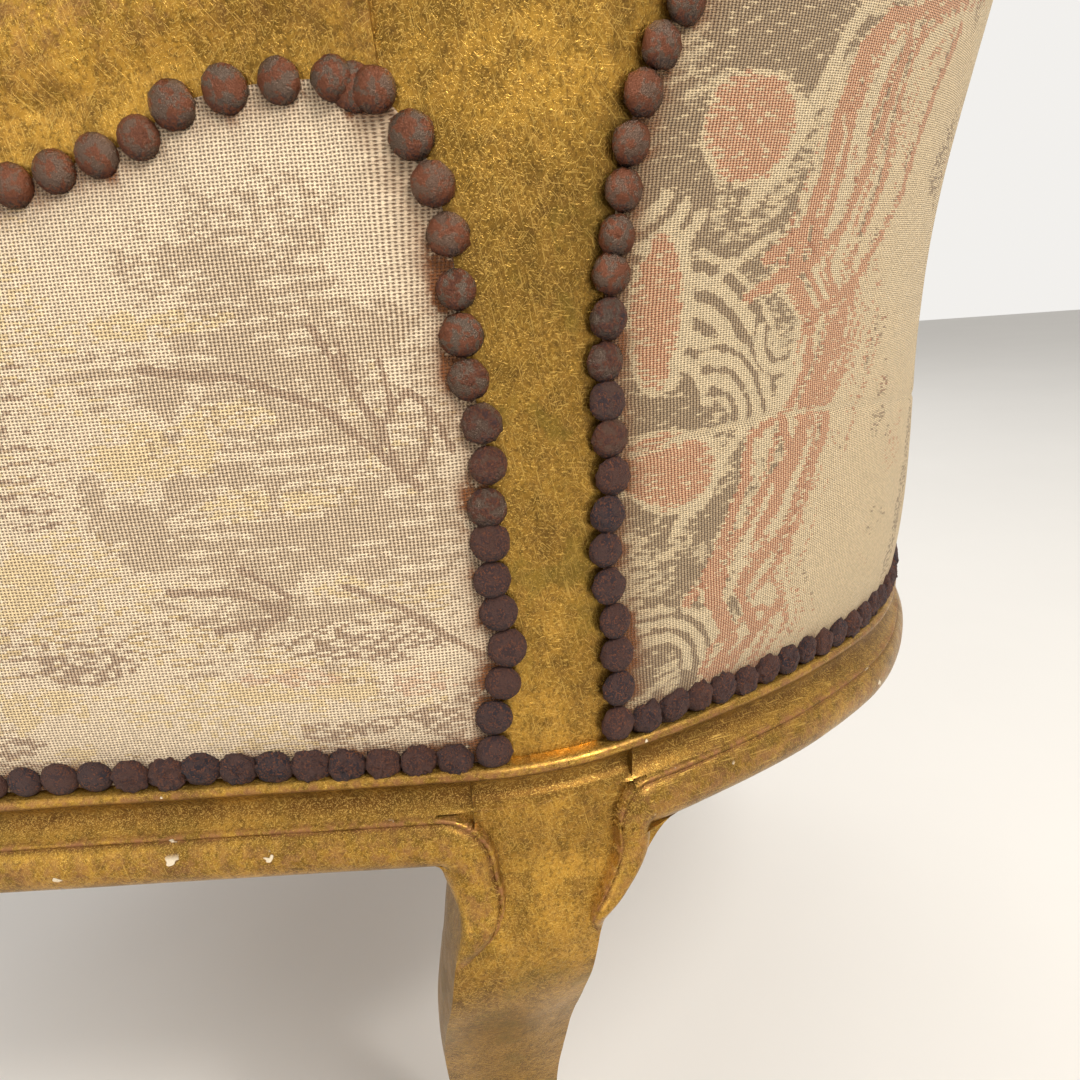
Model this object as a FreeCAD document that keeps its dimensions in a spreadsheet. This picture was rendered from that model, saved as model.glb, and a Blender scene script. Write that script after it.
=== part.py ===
"""A gilt tub bergere: a frame of separate joined members, pads, outside covers and a loose cushion.

The plan is drawn about the centre of the back's arc. Plan angles are measured in degrees from +Y (the
back) towards +X. The outer face of the frame, where the cloth is nailed, is the face line, and a
distance outward from it is an offset. The back leans by moving its arc backwards with height.
"""
import FreeCAD, Part
import math
import os
from functools import partial
from FreeCAD import Placement, Rotation, Vector

os.makedirs("parts", exist_ok=True)
doc = FreeCAD.newDocument("bergere")

# Every driving size, in millimetres or degrees.
SIZES = {
    "back_radius": 330, "back_half_angle": 55, "corner_radius": 108, "side_splay": 7,
    "side_length": 335, "front_corner_radius": 60, "front_half_angle": 20, "plan_shift": -60.2,
    "ledge_height": 300, "rail_depth": 37, "lip_height": 12, "rail_thickness": 30, "lip_thickness": 16,
    "bead_drop": 3, "upper_bead_height": 4, "cove_height": 12, "fillet_height": 1.5,
    "upper_bead_out": 4.5, "cove_out": 3, "lower_bead_out": 9,
    "post_depth": 34, "block_depth": 50, "block_heart": 8, "lean_rise": 90, "lean_blend": 100,
    "lean_angle": 13, "leg_width": 50, "leg_direction": 55, "leg_sweep": 45, "foot_size": 36,
    "ankle_size": 30, "ear_drop": 62, "ear_width": 11, "ear_out": 6,
    "arm_joint": 3, "arm_top": 545, "arm_drop": 38, "arm_height": 50, "arm_reach": 31,
    "stump_setback": 60, "stump_size": 34, "stump_top": 480, "stump_inset": 1.2,
    "crest_top": 898, "crest_fall": 80, "crest_height": 48,
    "tack_gap": 23, "tack_height": 24, "tack_thickness": 21,
    "corner_block_drop": 32, "corner_block_height": 24, "corner_block_run": 72,
    "webbing_width": 50, "webbing_pitch": 76, "webbing_thickness": 1.2, "hessian_thickness": 1, "deck_rise": 30, "deck_inset": 38,
    "pad_gap": 0.3, "back_pad_crown": 45, "arm_pad_crown": 24, "pad_edge": 8,
    "cover_edge": 1.6, "back_cover_crown": 9, "side_cover_crown": 6, "cover_lap": 8, "cover_gap": 0.3,
    "cushion_thickness": 112, "cushion_side_inset": 62, "cushion_back_inset": 84,
    "cushion_front_inset": 20, "elbow_crown": 20,
}
# Heights and lengths that follow from them.
DERIVED = {
    "rail_bottom": "ledge_height - rail_depth",
    "rail_top": "ledge_height + lip_height",
    "bead_top": "ledge_height - bead_drop",
    "cove_top": "bead_top - upper_bead_height",
    "cove_bottom": "cove_top - cove_height",
    "lower_bead_top": "cove_bottom - fillet_height",
    "tack_bottom": "rail_top + tack_gap",
    "deck_top": "ledge_height + deck_rise",
    "lean_start": "ledge_height + lean_rise",
    "corner_block_bottom": "ledge_height - corner_block_drop",
    "post_top": "crest_top - crest_fall + 2",
    "stump_centre": "side_length - stump_setback",
    "arm_length": "stump_centre + arm_reach",
    "elbow_start": "arm_length * 0.36",
    "elbow_length": "arm_length * 0.52",
}
sheet = doc.addObject("Spreadsheet::Sheet", "Sizes")
for row, (alias, number) in enumerate({**SIZES, **DERIVED}.items(), start=1):
    sheet.set(f"A{row}", alias.replace("_", " "))
    sheet.set(f"B{row}", f"={number}" if alias in DERIVED else str(number))
    sheet.setAlias(f"B{row}", alias)
doc.recompute()


class Values:
    """Reads a size from the sheet by its alias."""

    def __getattr__(self, alias):
        number = sheet.get(alias)
        return float(getattr(number, "Value", number))


V = Values()


def along(angle):
    """Unit vector at a plan angle."""
    return Vector(math.sin(math.radians(angle)), math.cos(math.radians(angle)), 0)


# The plan: back arc, rear corner arc, straight side, front corner arc, bowed front arc.
SIDE_ANGLE = 90 - V.side_splay
FRONT_ANGLE = 180 - V.front_half_angle
MID_CORNER = (V.back_half_angle + SIDE_ANGLE) / 2
side_out = along(SIDE_ANGLE)
side_run = Vector(side_out.y, -side_out.x, 0)
rear_centre = along(V.back_half_angle) * (V.back_radius - V.corner_radius)
side_start = rear_centre + side_out * V.corner_radius
side_end = side_start + side_run * V.side_length
front_centre = side_end - side_out * V.front_corner_radius
front_radius = V.front_corner_radius + front_centre.x / math.sin(math.radians(V.front_half_angle))
bow_centre = front_centre - along(FRONT_ANGLE) * (front_radius - V.front_corner_radius)
bow_centre.x = 0


def lean(height):
    """How far back the back's arc has moved at a height: upright, a blend, then a steady rake."""
    rise = height - V.lean_start
    slope = math.tan(math.radians(V.lean_angle))
    if rise <= 0:
        return 0.0
    if rise <= V.lean_blend:
        return slope * rise * rise / (2 * V.lean_blend)
    return slope * (rise - V.lean_blend / 2)


def lean_out(height):
    """How far outward the leaning post's side face has moved at a height."""
    return lean(height) * side_out.y


def on_side(run, offset, height=0):
    """Point beside the straight side: run forward from its rear joint, offset outward."""
    return side_start + side_run * run + side_out * offset + Vector(0, 0, height)


def on_arc(centre, radius, angle):
    return centre + along(angle) * radius


# Outlines: a start point and steps, each a point for a line or a pair (through, point) for an arc.
def outline(start, steps):
    edges = []
    here = start
    for step in steps:
        if isinstance(step, tuple):
            edges.append(Part.Arc(here, step[0], step[1]))
            here = step[1]
        else:
            edges.append(Part.LineSegment(here, step))
            here = step
    return edges


def origin_plane(body, role):
    return next(f for f in body.Origin.OriginFeatures if f.Role == role)


def sketch(body, name, role, offset, edges):
    made = body.newObject("Sketcher::SketchObject", name)
    made.AttachmentSupport = (origin_plane(body, role), [""])
    made.MapMode = "FlatFace"
    made.AttachmentOffset = offset
    for edge in edges:
        made.addGeometry(edge, False)
    return made


def level_sketch(body, name, height, edges):
    """A sketch in a level plane, drawn in plan coordinates."""
    return sketch(body, name, "XY_Plane", Placement(Vector(0, 0, height), Rotation()), edges)


def upright_sketch(body, name, foot, angle, edges):
    """A sketch in the upright plane whose x axis leaves the foot point at a plan angle."""
    offset = Placement(Vector(foot.x, 0, -foot.y), Rotation(Vector(0, 1, 0), 90 - angle))
    return sketch(body, name, "XZ_Plane", offset, edges)


def new_body(node):
    body = doc.addObject("PartDesign::Body", node)
    body.Label = node
    body.setExpression("Placement.Base.y", "Sizes.plan_shift")
    return body


def loft(body, name, sketches, ruled=False):
    made = body.newObject("PartDesign::AdditiveLoft", name)
    made.Profile = sketches[0]
    made.Sections = sketches[1:]
    made.Ruled = ruled
    body.Tip = made
    doc.recompute()
    return made


def turn(body, name, profile, angle):
    """Turns an upright profile about its own vertical axis, equally to both sides."""
    made = body.newObject("PartDesign::Revolution", name)
    made.Profile = profile
    made.ReferenceAxis = (profile, ["V_Axis"])
    made.Midplane = True
    made.Angle = angle
    body.Tip = made
    doc.recompute()
    return made


def pad(body, name, profile, length):
    made = body.newObject("PartDesign::Pad", name)
    made.Profile = profile
    made.Type = "Length"
    if isinstance(length, str):
        made.setExpression("Length", length)
    else:
        made.Length = length
    body.Tip = made
    doc.recompute()
    return made


def cut(node, base, tools):
    """The base piece with its neighbours' solids taken away, so that it seats on them."""
    for number, tool in enumerate(tools, start=1):
        made = doc.addObject("Part::Cut", f"{node}_seat_{number}")
        made.Base = base
        made.Tool = tool
        base = made
    doc.recompute()
    base.Label = node
    return base


def mirrored(node, source):
    made = doc.addObject("Part::Mirroring", node + "_mirror")
    made.Source = source
    made.Normal = Vector(1, 0, 0)
    made.Label = node
    doc.recompute()
    return made


pieces = {}


def both_sides(name, right):
    pieces[name + "_right"] = right
    pieces[name + "_left"] = mirrored(name + "_left", right)


# Seat rails: one moulded profile with a narrow bead under the nails, a cove, a fillet and a broad bead.
def rail_profile(face):
    """Rail section; x is measured from the turning axis, with the face line at the given distance."""
    def at(offset, height):
        return Vector(face + offset, height, 0)
    inner = at(-V.rail_thickness, V.rail_bottom)
    bead_mid = (V.rail_bottom + V.lower_bead_top) / 2
    cove_mid = (V.cove_top + V.cove_bottom) / 2
    upper_mid = (V.bead_top + V.cove_top) / 2
    return outline(inner, [
        at(V.cove_out, V.rail_bottom),
        (at(V.lower_bead_out, bead_mid), at(V.cove_out + 2, V.lower_bead_top)),
        at(V.cove_out + 3, V.lower_bead_top),
        at(V.cove_out + 2, V.cove_bottom),
        (at(V.cove_out - 1, cove_mid), at(V.cove_out, V.cove_top)),
        (at(V.upper_bead_out + 1, upper_mid), at(V.upper_bead_out - 2, V.bead_top)),
        at(0, V.bead_top + 0.5),
        at(0, V.rail_top),
        at(-V.lip_thickness, V.rail_top),
        at(-V.lip_thickness, V.ledge_height),
        at(-V.rail_thickness, V.ledge_height),
        inner,
    ])


def block_profile(face, depth, lip):
    """Section of a leg's block: the upper bead and the cove run on, and the cove meets the leg."""
    def at(offset, height):
        return Vector(face + offset, height, 0)
    inner = at(-depth, V.rail_bottom)
    cove_mid = (V.cove_top + V.cove_bottom) / 2
    upper_mid = (V.bead_top + V.cove_top) / 2
    return outline(inner, [
        at(V.cove_out + 2, V.rail_bottom),
        at(V.cove_out + 2, V.cove_bottom),
        (at(V.cove_out - 1, cove_mid), at(V.cove_out, V.cove_top)),
        (at(V.upper_bead_out + 1, upper_mid), at(V.upper_bead_out - 2, V.bead_top)),
        at(0, V.bead_top + 0.5),
        at(0, V.rail_top),
        at(-lip, V.rail_top),
        at(-lip, V.ledge_height),
        at(-depth, V.ledge_height),
        inner,
    ])


origin = Vector(0, 0, 0)
back_rail = new_body("back_rail")
profile = upright_sketch(back_rail, "back_rail_profile", origin, 0, rail_profile(V.back_radius))
turn(back_rail, "back_rail_arc", profile, 2 * V.back_half_angle)
pieces["back_rail"] = back_rail

front_rail = new_body("front_rail")
profile = upright_sketch(front_rail, "front_rail_profile", bow_centre, 180, rail_profile(front_radius))
turn(front_rail, "front_rail_arc", profile, 2 * V.front_half_angle)
pieces["front_rail"] = front_rail

side_rail = new_body("side_rail_right")
profile = upright_sketch(side_rail, "side_rail_profile", side_start, SIDE_ANGLE, rail_profile(0))
pad(side_rail, "side_rail_run", profile, "Sizes.side_length")
both_sides("side_rail", side_rail)


# Legs: one piece with their blocks. Level sections are squares with slightly bowed sides.
def leg_section(face_mid, facing, width, depth, bow):
    out = along(facing)
    right = Vector(out.y, -out.x, 0)

    def at(across, inward):
        return face_mid + right * across - out * inward
    half = width / 2
    back = half * 0.8
    return outline(at(-half, 0), [
        (at(0, -bow), at(half, 0)),
        (at(half + bow, depth * 0.45), at(back, depth)),
        (at(0, depth + bow), at(-back, depth)),
        (at(-half - bow, depth * 0.45), at(-half, 0)),
    ])


def leg_stations(knee):
    """Height, inward sweep of the face, width and depth, from the block down to the foot."""
    top = V.rail_bottom
    wide = V.leg_width
    sweep = V.leg_sweep
    return [
        (top, -knee * 0.5, wide, wide * 0.96),
        (top * 0.947, -knee, wide * 0.98, wide * 0.96),
        (top * 0.817, -knee * 0.2, wide * 0.9, wide * 0.9),
        (top * 0.624, sweep * 0.53, wide * 0.82, wide * 0.8),
        (top * 0.411, sweep * 0.93, wide * 0.68, wide * 0.66),
        (top * 0.194, sweep, V.ankle_size, V.ankle_size * 0.97),
        (top * 0.076, sweep * 0.8, V.foot_size * 0.92, V.foot_size * 0.89),
        (0, sweep * 0.73, V.foot_size, V.foot_size * 0.97),
    ]


def add_leg(body, face_mid, facing, sweep, knee):
    sections = []
    for number, (height, inward, width, depth) in enumerate(leg_stations(knee), start=1):
        middle = face_mid - along(sweep) * inward
        bow = 1.6 * width / V.leg_width
        edges = leg_section(middle, facing, width, depth, bow)
        sections.append(level_sketch(body, f"{body.Name}_leg_{number}", height, edges))
    loft(body, f"{body.Name}_leg", sections)


def add_ears(body, centre, radius, angles, spread):
    """The rail's broad bead turned down both edges of the leg, tapering to a point."""
    stations = [(0, 1, 1), (0.22, 0.95, 0.92), (0.48, 0.9, 0.77), (0.74, 0.72, 0.5), (1, 0.36, 0.2)]
    for side, (joint, sense) in enumerate(angles):
        sections = []
        for number, (share, broad, proud) in enumerate(stations, start=1):
            drop = V.ear_drop * share
            half = V.ear_width * broad / 2
            angle = joint + sense * math.degrees((half + spread * drop) / radius)
            inward = 1 + V.ear_out * 0.76 * max(0, share - 0.39)
            middle = on_arc(centre, radius + V.cove_out - inward, angle)
            facing = along(angle)
            right = Vector(facing.y, -facing.x, 0)
            low = middle - right * half - facing * V.ear_out
            high = middle + right * half - facing * V.ear_out
            edges = outline(low, [
                low + facing * V.ear_out,
                (middle + facing * V.ear_out * proud, high + facing * V.ear_out),
                high,
                low,
            ])
            height = V.lower_bead_top - drop
            sections.append(level_sketch(body, f"{body.Name}_ear_{side}_{number}", height, edges))
        loft(body, f"{body.Name}_ear_{side}", sections, ruled=True)


def post_section(height, forward, draw):
    """Level section of the rear post: the corner's arc, run forward beside the arm, drawn in at the top."""
    centre = rear_centre + Vector(0, lean(height), 0)
    inner = V.corner_radius - V.post_depth + draw
    outer = V.corner_radius - draw
    ahead = side_run * (forward + lean(height) * side_run.y * -1)
    start = on_arc(centre, outer, V.back_half_angle)
    corner_out = on_arc(centre, outer, SIDE_ANGLE)
    corner_in = on_arc(centre, inner, SIDE_ANGLE)
    return outline(start, [
        (on_arc(centre, outer, MID_CORNER), corner_out),
        corner_out + ahead,
        corner_in + ahead,
        corner_in,
        (on_arc(centre, inner, MID_CORNER), on_arc(centre, inner, V.back_half_angle)),
        start,
    ])


rear_post = new_body("rear_post_right")
profile = upright_sketch(rear_post, "rear_block_profile", rear_centre, MID_CORNER,
                         block_profile(V.corner_radius, V.block_depth, V.post_depth))
turn(rear_post, "rear_block", profile, SIDE_ANGLE - V.back_half_angle)
add_leg(rear_post, on_arc(rear_centre, V.corner_radius + V.cove_out, MID_CORNER), MID_CORNER - 2,
        V.leg_direction, 2)
add_ears(rear_post, rear_centre, V.corner_radius, [(V.back_half_angle, 1), (SIDE_ANGLE, -1)], 0.02)
flare = V.arm_height * 2.1
post_stations = [(V.rail_top, 1), (V.lean_start, 1)]
post_stations += [(V.lean_start + V.lean_blend * step / 3, 1) for step in (1, 2, 3)]
post_stations += [(V.arm_top + flare * rise, share) for rise, share in (
    (-0.04, 1), (0.11, 0.8), (0.29, 0.45), (0.48, 0.18), (0.71, 0.03), (1, 0))]
post_stations += [(V.post_top - 8, 0), (V.post_top, 0)]
top_draw = 4
sections = []
for number, (height, share) in enumerate(post_stations, start=1):
    forward = V.arm_joint - (1 - share) * lean(height) * abs(side_run.y)
    draw = top_draw if height == V.post_top else 0
    edges = post_section(height, forward - draw / 2, draw)
    sections.append(level_sketch(rear_post, f"post_section_{number}", height, edges))
loft(rear_post, "post_upright", sections, ruled=True)
both_sides("rear_post", rear_post)

front_leg = new_body("front_leg_right")
front_mid = (SIDE_ANGLE + FRONT_ANGLE) / 2
profile = upright_sketch(front_leg, "front_block_profile", front_centre, front_mid,
                         block_profile(V.front_corner_radius, V.front_corner_radius - V.block_heart, V.lip_thickness))
turn(front_leg, "front_block", profile, FRONT_ANGLE - SIDE_ANGLE)
add_leg(front_leg, on_arc(front_centre, V.front_corner_radius + V.cove_out - 3, front_mid), front_mid,
        front_mid, 7)
both_sides("front_leg", front_leg)


# Crest rail: sections round the back's arc, each in a plane that leans with the back, arched in height.
def crest_line(angle):
    return V.crest_top - V.crest_fall * (angle / V.back_half_angle) ** 2


def leaning_sketch(body, name, angle, make_edges):
    """A sketch in the plane at a plan angle that holds the back's rake; it takes offset and height."""
    slope = math.tan(math.radians(V.lean_angle))
    foot = Vector(0, -slope * (V.lean_start + V.lean_blend / 2), 0)
    out = along(angle)
    rake = Vector(0, slope, 1)
    share = rake.dot(out)
    up = rake - out * share
    stretch = up.Length
    up.normalize()
    turned = Placement(foot, Rotation(out, up, out.cross(up), "ZXY"))
    base = Placement(origin, Rotation(Vector(1, 0, 0), 90))

    def at(offset, height):
        return Vector(V.back_radius + offset + height * share, height * stretch, 0)
    return sketch(body, name, "XZ_Plane", base.inverse() * turned, make_edges(at))


def crest_edges(at, bottom, top):
    """The crest's section: flat where cloth laps it, a bead outside, an eased top."""
    rise = top - bottom
    inner = at(-V.post_depth, bottom)
    return outline(inner, [
        at(0, bottom),
        at(0, bottom + rise * 0.3),
        (at(V.upper_bead_out, bottom + rise * 0.6), at(-3, top - 3)),
        (at(-V.post_depth / 2, top), at(-V.post_depth, top - 4)),
        inner,
    ])


crest = new_body("crest_rail")
crest_steps = 20
sections = []
for number in range(crest_steps + 1):
    angle = V.back_half_angle * (2 * number / crest_steps - 1)
    top = crest_line(angle)
    edges = partial(crest_edges, bottom=top - V.crest_height, top=top)
    sections.append(leaning_sketch(crest, f"crest_section_{number}", angle, edges))
loft(crest, "crest_arc", sections, ruled=True)
pieces["crest_rail"] = crest


# Arm rails: upright sections along the side. The underside flares down where it meets the post.
def arm_underside(run):
    """Height of the arm's lower edge: an arch beside the post, then an easy fall to the front."""
    share = min(max(run / V.arm_length - 0.09, 0) / 0.65, 1)
    fall = V.arm_drop * share * (2 - share) * 0.82
    flare = V.arm_height * 0.52 * max(0, 1 - run / (V.arm_length * 0.072)) ** 2
    return V.arm_top - V.arm_height * 1.14 - fall - flare


def arm_upperside(run):
    share = min(max(run / V.arm_length - 0.065, 0) / 0.69, 1)
    return V.arm_top - V.arm_drop * share * share * (3 - 2 * share)


def outward(run, height):
    """The side's lean beside the rear post, fading out along the arm."""
    return lean_out(height) * max(0, 1 - max(run, 0) / (V.arm_length * 0.3))


def arm_section(run):
    """Upright section of the arm: flat where cloth laps it, rounded over the top, pinched at the front."""
    end = max(0, run / V.arm_length - 0.915) / 0.085
    pinch = V.post_depth * 0.2 * end * end
    high = arm_upperside(run) - V.arm_height * 0.16 * end * end
    low = arm_underside(run) + V.arm_height * 0.24 * end * end
    edge = high - V.arm_height * 0.06

    def at(offset, height):
        return Vector(offset + outward(run, height), height, 0)
    inner = at(-V.post_depth + pinch, low)
    return outline(inner, [
        at(-pinch, low),
        at(-pinch, high - V.arm_height * (0.66 - 0.2 * end)),
        (at(V.upper_bead_out - pinch, high - V.arm_height * 0.36), at(-3 - pinch, edge)),
        at(-V.post_depth + pinch, edge),
        inner,
    ])


arm = new_body("arm_rail_blank")
sections = []
shares = [0, 0.035, 0.072, 0.11, 0.15, 0.23, 0.31, 0.42, 0.53, 0.64, 0.74, 0.83, 0.915, 0.95, 0.98, 1]
for number, share in enumerate(shares, start=1):
    run = V.arm_joint - 0.5 + (V.arm_length - V.arm_joint + 0.5) * share
    sections.append(upright_sketch(arm, f"arm_section_{number}", on_side(run, 0), SIDE_ANGLE,
                                   arm_section(run)))
loft(arm, "arm_run", sections, ruled=True)

# Arm stumps: level sections from the side rail up into the arm.
stump = new_body("arm_stump_blank")
sections = []
stump_rise = V.stump_top - V.rail_top
hollow = V.stump_size * 0.26
stump_shape = [(0, 0, 0), (0.14, 0, 0), (0.3, 0, -2), (0.52, -3, -hollow), (0.76, -3, 1 - hollow),
               (0.89, 0, 2), (1, 0, 4)]
for number, (share, back_shift, front_shift) in enumerate(stump_shape, start=1):
    height = V.rail_top + stump_rise * share
    rear = V.stump_centre - V.stump_size / 2 + back_shift
    fore = V.stump_centre + V.stump_size / 2 + front_shift
    edges = outline(on_side(rear, -V.pad_gap), [
        on_side(fore - 6, -V.stump_inset),
        (on_side(fore + 2, -V.post_depth / 2), on_side(fore - 6, V.stump_inset - V.post_depth)),
        on_side(rear, V.pad_gap - V.post_depth),
        on_side(rear, -V.pad_gap),
    ])
    sections.append(level_sketch(stump, f"stump_section_{number}", height, edges))
loft(stump, "stump_rise", sections, ruled=True)
arm_seated = cut("arm_rail_right", arm, [rear_post])
both_sides("arm_rail", arm_seated)
both_sides("arm_stump", cut("arm_stump_right", stump, [arm]))


# Tacking rails above the seat, inside the frame.
def plain_box(face, thickness, bottom, height):
    low = Vector(face - thickness, bottom, 0)
    return outline(low, [
        Vector(face, bottom, 0),
        Vector(face, bottom + height, 0),
        Vector(face - thickness, bottom + height, 0),
        low,
    ])


back_tack = new_body("back_tacking_rail")
inner_face = -V.post_depth + V.tack_thickness
profile = upright_sketch(back_tack, "back_tack_profile", origin, 0,
                         plain_box(V.back_radius + inner_face, V.tack_thickness, V.tack_bottom, V.tack_height))
turn(back_tack, "back_tack_arc", profile, 2 * V.back_half_angle)
pieces["back_tacking_rail"] = back_tack

arm_tack = new_body("arm_tacking_rail_right")
profile = upright_sketch(arm_tack, "arm_tack_profile", on_side(V.arm_joint, 0), SIDE_ANGLE,
                         plain_box(inner_face, V.tack_thickness, V.tack_bottom, V.tack_height))
pad(arm_tack, "arm_tack_run", profile, "Sizes.stump_centre - Sizes.stump_size / 2 - Sizes.arm_joint")
both_sides("arm_tacking_rail", arm_tack)


# Corner blocks screwed behind each joint of the seat frame.
def rear_corner_outline():
    inner = V.corner_radius - V.block_depth
    back_inner = V.back_radius - V.rail_thickness
    here = on_side(0, -V.rail_thickness)
    return outline(here, [
        on_side(V.corner_block_run, -V.rail_thickness),
        along(V.back_half_angle - 14) * back_inner,
        (along(V.back_half_angle - 7) * back_inner, along(V.back_half_angle) * back_inner),
        on_arc(rear_centre, inner, V.back_half_angle),
        (on_arc(rear_centre, inner, MID_CORNER), on_arc(rear_centre, inner, SIDE_ANGLE)),
        here,
    ])


def front_corner_outline():
    inner = front_radius - V.rail_thickness
    here = on_side(V.side_length - V.corner_block_run, -V.rail_thickness)
    return outline(here, [
        on_side(V.side_length, -V.rail_thickness),
        on_arc(front_centre, V.block_heart, SIDE_ANGLE),
        (on_arc(front_centre, V.block_heart, front_mid), on_arc(front_centre, V.block_heart, FRONT_ANGLE)),
        on_arc(bow_centre, inner, FRONT_ANGLE),
        (on_arc(bow_centre, inner, FRONT_ANGLE + 2.5), on_arc(bow_centre, inner, FRONT_ANGLE + 5)),
        here,
    ])


for place, edges in (("rear", rear_corner_outline()), ("front", front_corner_outline())):
    block = new_body(f"{place}_corner_block_right")
    profile = level_sketch(block, f"{place}_corner_outline", V.corner_block_bottom, edges)
    pad(block, f"{place}_corner_pad", profile, "Sizes.corner_block_height")
    both_sides(f"{place}_corner_block", block)


# Level outline of the seat: back arc, side, front arc, side, with the corners cut or rounded.
def meet(point, direction, centre, radius, sense):
    """Where a line through the point meets a circle, behind (-1) or ahead (+1) along the direction."""
    offset = point - centre
    half = offset.dot(direction)
    rest = offset.dot(offset) - radius * radius
    return point + direction * (-half + sense * math.sqrt(half * half - rest))


def seat_outline(back, side, front, rear_cut, front_cut, rounded):
    radius = V.back_radius - back
    bow = front_radius - front
    line = on_side(0, -side)
    rear = meet(line, side_run, origin, radius, -1)
    fore = meet(line, side_run, bow_centre, bow, 1)
    rear_angle = math.degrees(math.atan2(rear.x, rear.y) - rear_cut / radius)
    fore_angle = math.degrees(math.atan2(fore.x, fore.y - bow_centre.y) + front_cut / bow)
    rear_side = rear + side_run * rear_cut
    fore_side = fore - side_run * front_cut
    rear_back = along(rear_angle) * radius
    fore_front = on_arc(bow_centre, bow, fore_angle)

    def flip(point):
        return Vector(-point.x, point.y, point.z)

    def corner(first, apex, last):
        if not rounded:
            return last
        middle = (first + last) * 0.5
        return (apex + (middle - apex) * 0.62, last)
    return outline(flip(rear_back), [
        (Vector(0, radius, 0), rear_back),
        corner(rear_back, rear, rear_side),
        fore_side,
        corner(fore_side, fore, fore_front),
        (bow_centre + Vector(0, -bow, 0), flip(fore_front)),
        corner(flip(fore_front), flip(fore), flip(fore_side)),
        flip(rear_side),
        corner(flip(rear_side), flip(rear), flip(rear_back)),
    ])


# Webbing laid on the rails' ledge in two crossing layers, then hessian and the fixed seat deck.
webbing_inset = V.lip_thickness + 2
floor_lines = seat_outline(webbing_inset, webbing_inset, webbing_inset, V.corner_radius * 0.72, 95, False)
floor = Part.Face(Part.Wire([edge.toShape() for edge in floor_lines]))
span = 2 * (V.back_radius + V.side_length)


def strips(bottom, centres, lengthwise):
    """Parallel strips cut from the seat's outline, extruded by the webbing's thickness."""
    slab = floor.copy()
    slab.translate(Vector(0, 0, bottom))
    slab = slab.extrude(Vector(0, 0, V.webbing_thickness))
    width, length = (V.webbing_width, span) if lengthwise else (span, V.webbing_width)
    made = []
    for centre in centres:
        x, y = (centre, 0) if lengthwise else (0, centre)
        corner = Vector(x - width / 2, y - length / 2, bottom - 1)
        made.extend(slab.common(Part.makeBox(width, length, V.webbing_thickness + 2, corner)).Solids)
    return made


webbing = doc.addObject("Part::Feature", "seat_webbing")
webbing.Label = "seat_webbing"
lengthwise = [(step - 2.5) * V.webbing_pitch for step in range(6)]
crosswise = [(step - 2.6) * V.webbing_pitch for step in range(5)]
webbing.Shape = Part.makeCompound(
    strips(V.ledge_height, lengthwise, True)
    + strips(V.ledge_height + V.webbing_thickness, crosswise, False))
webbing.setExpression("Placement.Base.y", "Sizes.plan_shift")
pieces["seat_webbing"] = webbing

hessian_bottom = V.ledge_height + 2 * V.webbing_thickness
hessian = new_body("seat_hessian")
profile = level_sketch(hessian, "hessian_outline", hessian_bottom, floor_lines)
pad(hessian, "hessian_sheet", profile, "Sizes.hessian_thickness")
pieces["seat_hessian"] = hessian

deck_bottom = hessian_bottom + V.hessian_thickness


def stacked(node, stations, back, side, front, rear_cut, front_cut):
    """A level-layered soft block: each station is a height and how far its outline draws in."""
    body = new_body(node)
    made = []
    for number, (height, draw) in enumerate(stations, start=1):
        edges = seat_outline(back + draw, side + draw, front + draw, rear_cut, front_cut, True)
        made.append(level_sketch(body, f"{node}_layer_{number}", height, edges))
    loft(body, f"{node}_form", made, ruled=True)
    return body


thick = V.deck_top - deck_bottom
pieces["seat_deck"] = stacked("seat_deck", [
    (deck_bottom, 2), (deck_bottom + thick * 0.35, 0), (V.deck_top - thick * 0.2, 3), (V.deck_top, 18),
], V.deck_inset, V.deck_inset, webbing_inset, 40, 60)

cushion_bottom = V.deck_top + V.pad_gap
thick = V.cushion_thickness
pieces["seat_cushion"] = stacked("seat_cushion", [
    (cushion_bottom, 46), (cushion_bottom + thick * 0.06, 13), (cushion_bottom + thick * 0.2, 1),
    (cushion_bottom + thick * 0.66, 0), (cushion_bottom + thick * 0.84, 7),
    (cushion_bottom + thick * 0.95, 40), (cushion_bottom + thick, 120),
], V.cushion_back_inset, V.cushion_side_inset, V.cushion_front_inset, 55, 45)


# Pads and covers that follow the back's arc: level sections with a flat side and a crowned side.
def arc_strip(height, half, flat, edge, crown):
    """Level strip round the back; edge and crown are signed thicknesses at its ends and its middle."""
    centre = Vector(0, lean(height), 0)
    start = on_arc(centre, flat, -half)
    return outline(start, [
        (on_arc(centre, flat, 0), on_arc(centre, flat, half)),
        on_arc(centre, flat + edge, half),
        (on_arc(centre, flat + crown, 0), on_arc(centre, flat + edge, -half)),
        start,
    ])


def arch_half(height, lap, widest):
    """Half angle of a panel at a height, under the crest's arch."""
    above = V.crest_top - V.crest_height + lap - height
    return min(widest, V.back_half_angle * math.sqrt(max(above, 0) / V.crest_fall))


panel_top = V.crest_top - V.crest_height + V.cover_lap
shoulder = panel_top - V.crest_fall
levels = [V.tack_bottom + V.tack_height + 10, V.lean_start + V.lean_blend * 0.25,
          V.lean_start + V.lean_blend * 0.6, V.lean_start + V.lean_blend]
levels += [levels[-1] + (shoulder - levels[-1]) * share for share in (0.33, 0.66, 1)]


def arched(shares):
    """Levels at which the arch has narrowed to the given shares of its width."""
    return [panel_top - V.crest_fall * share * share for share in shares]



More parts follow.
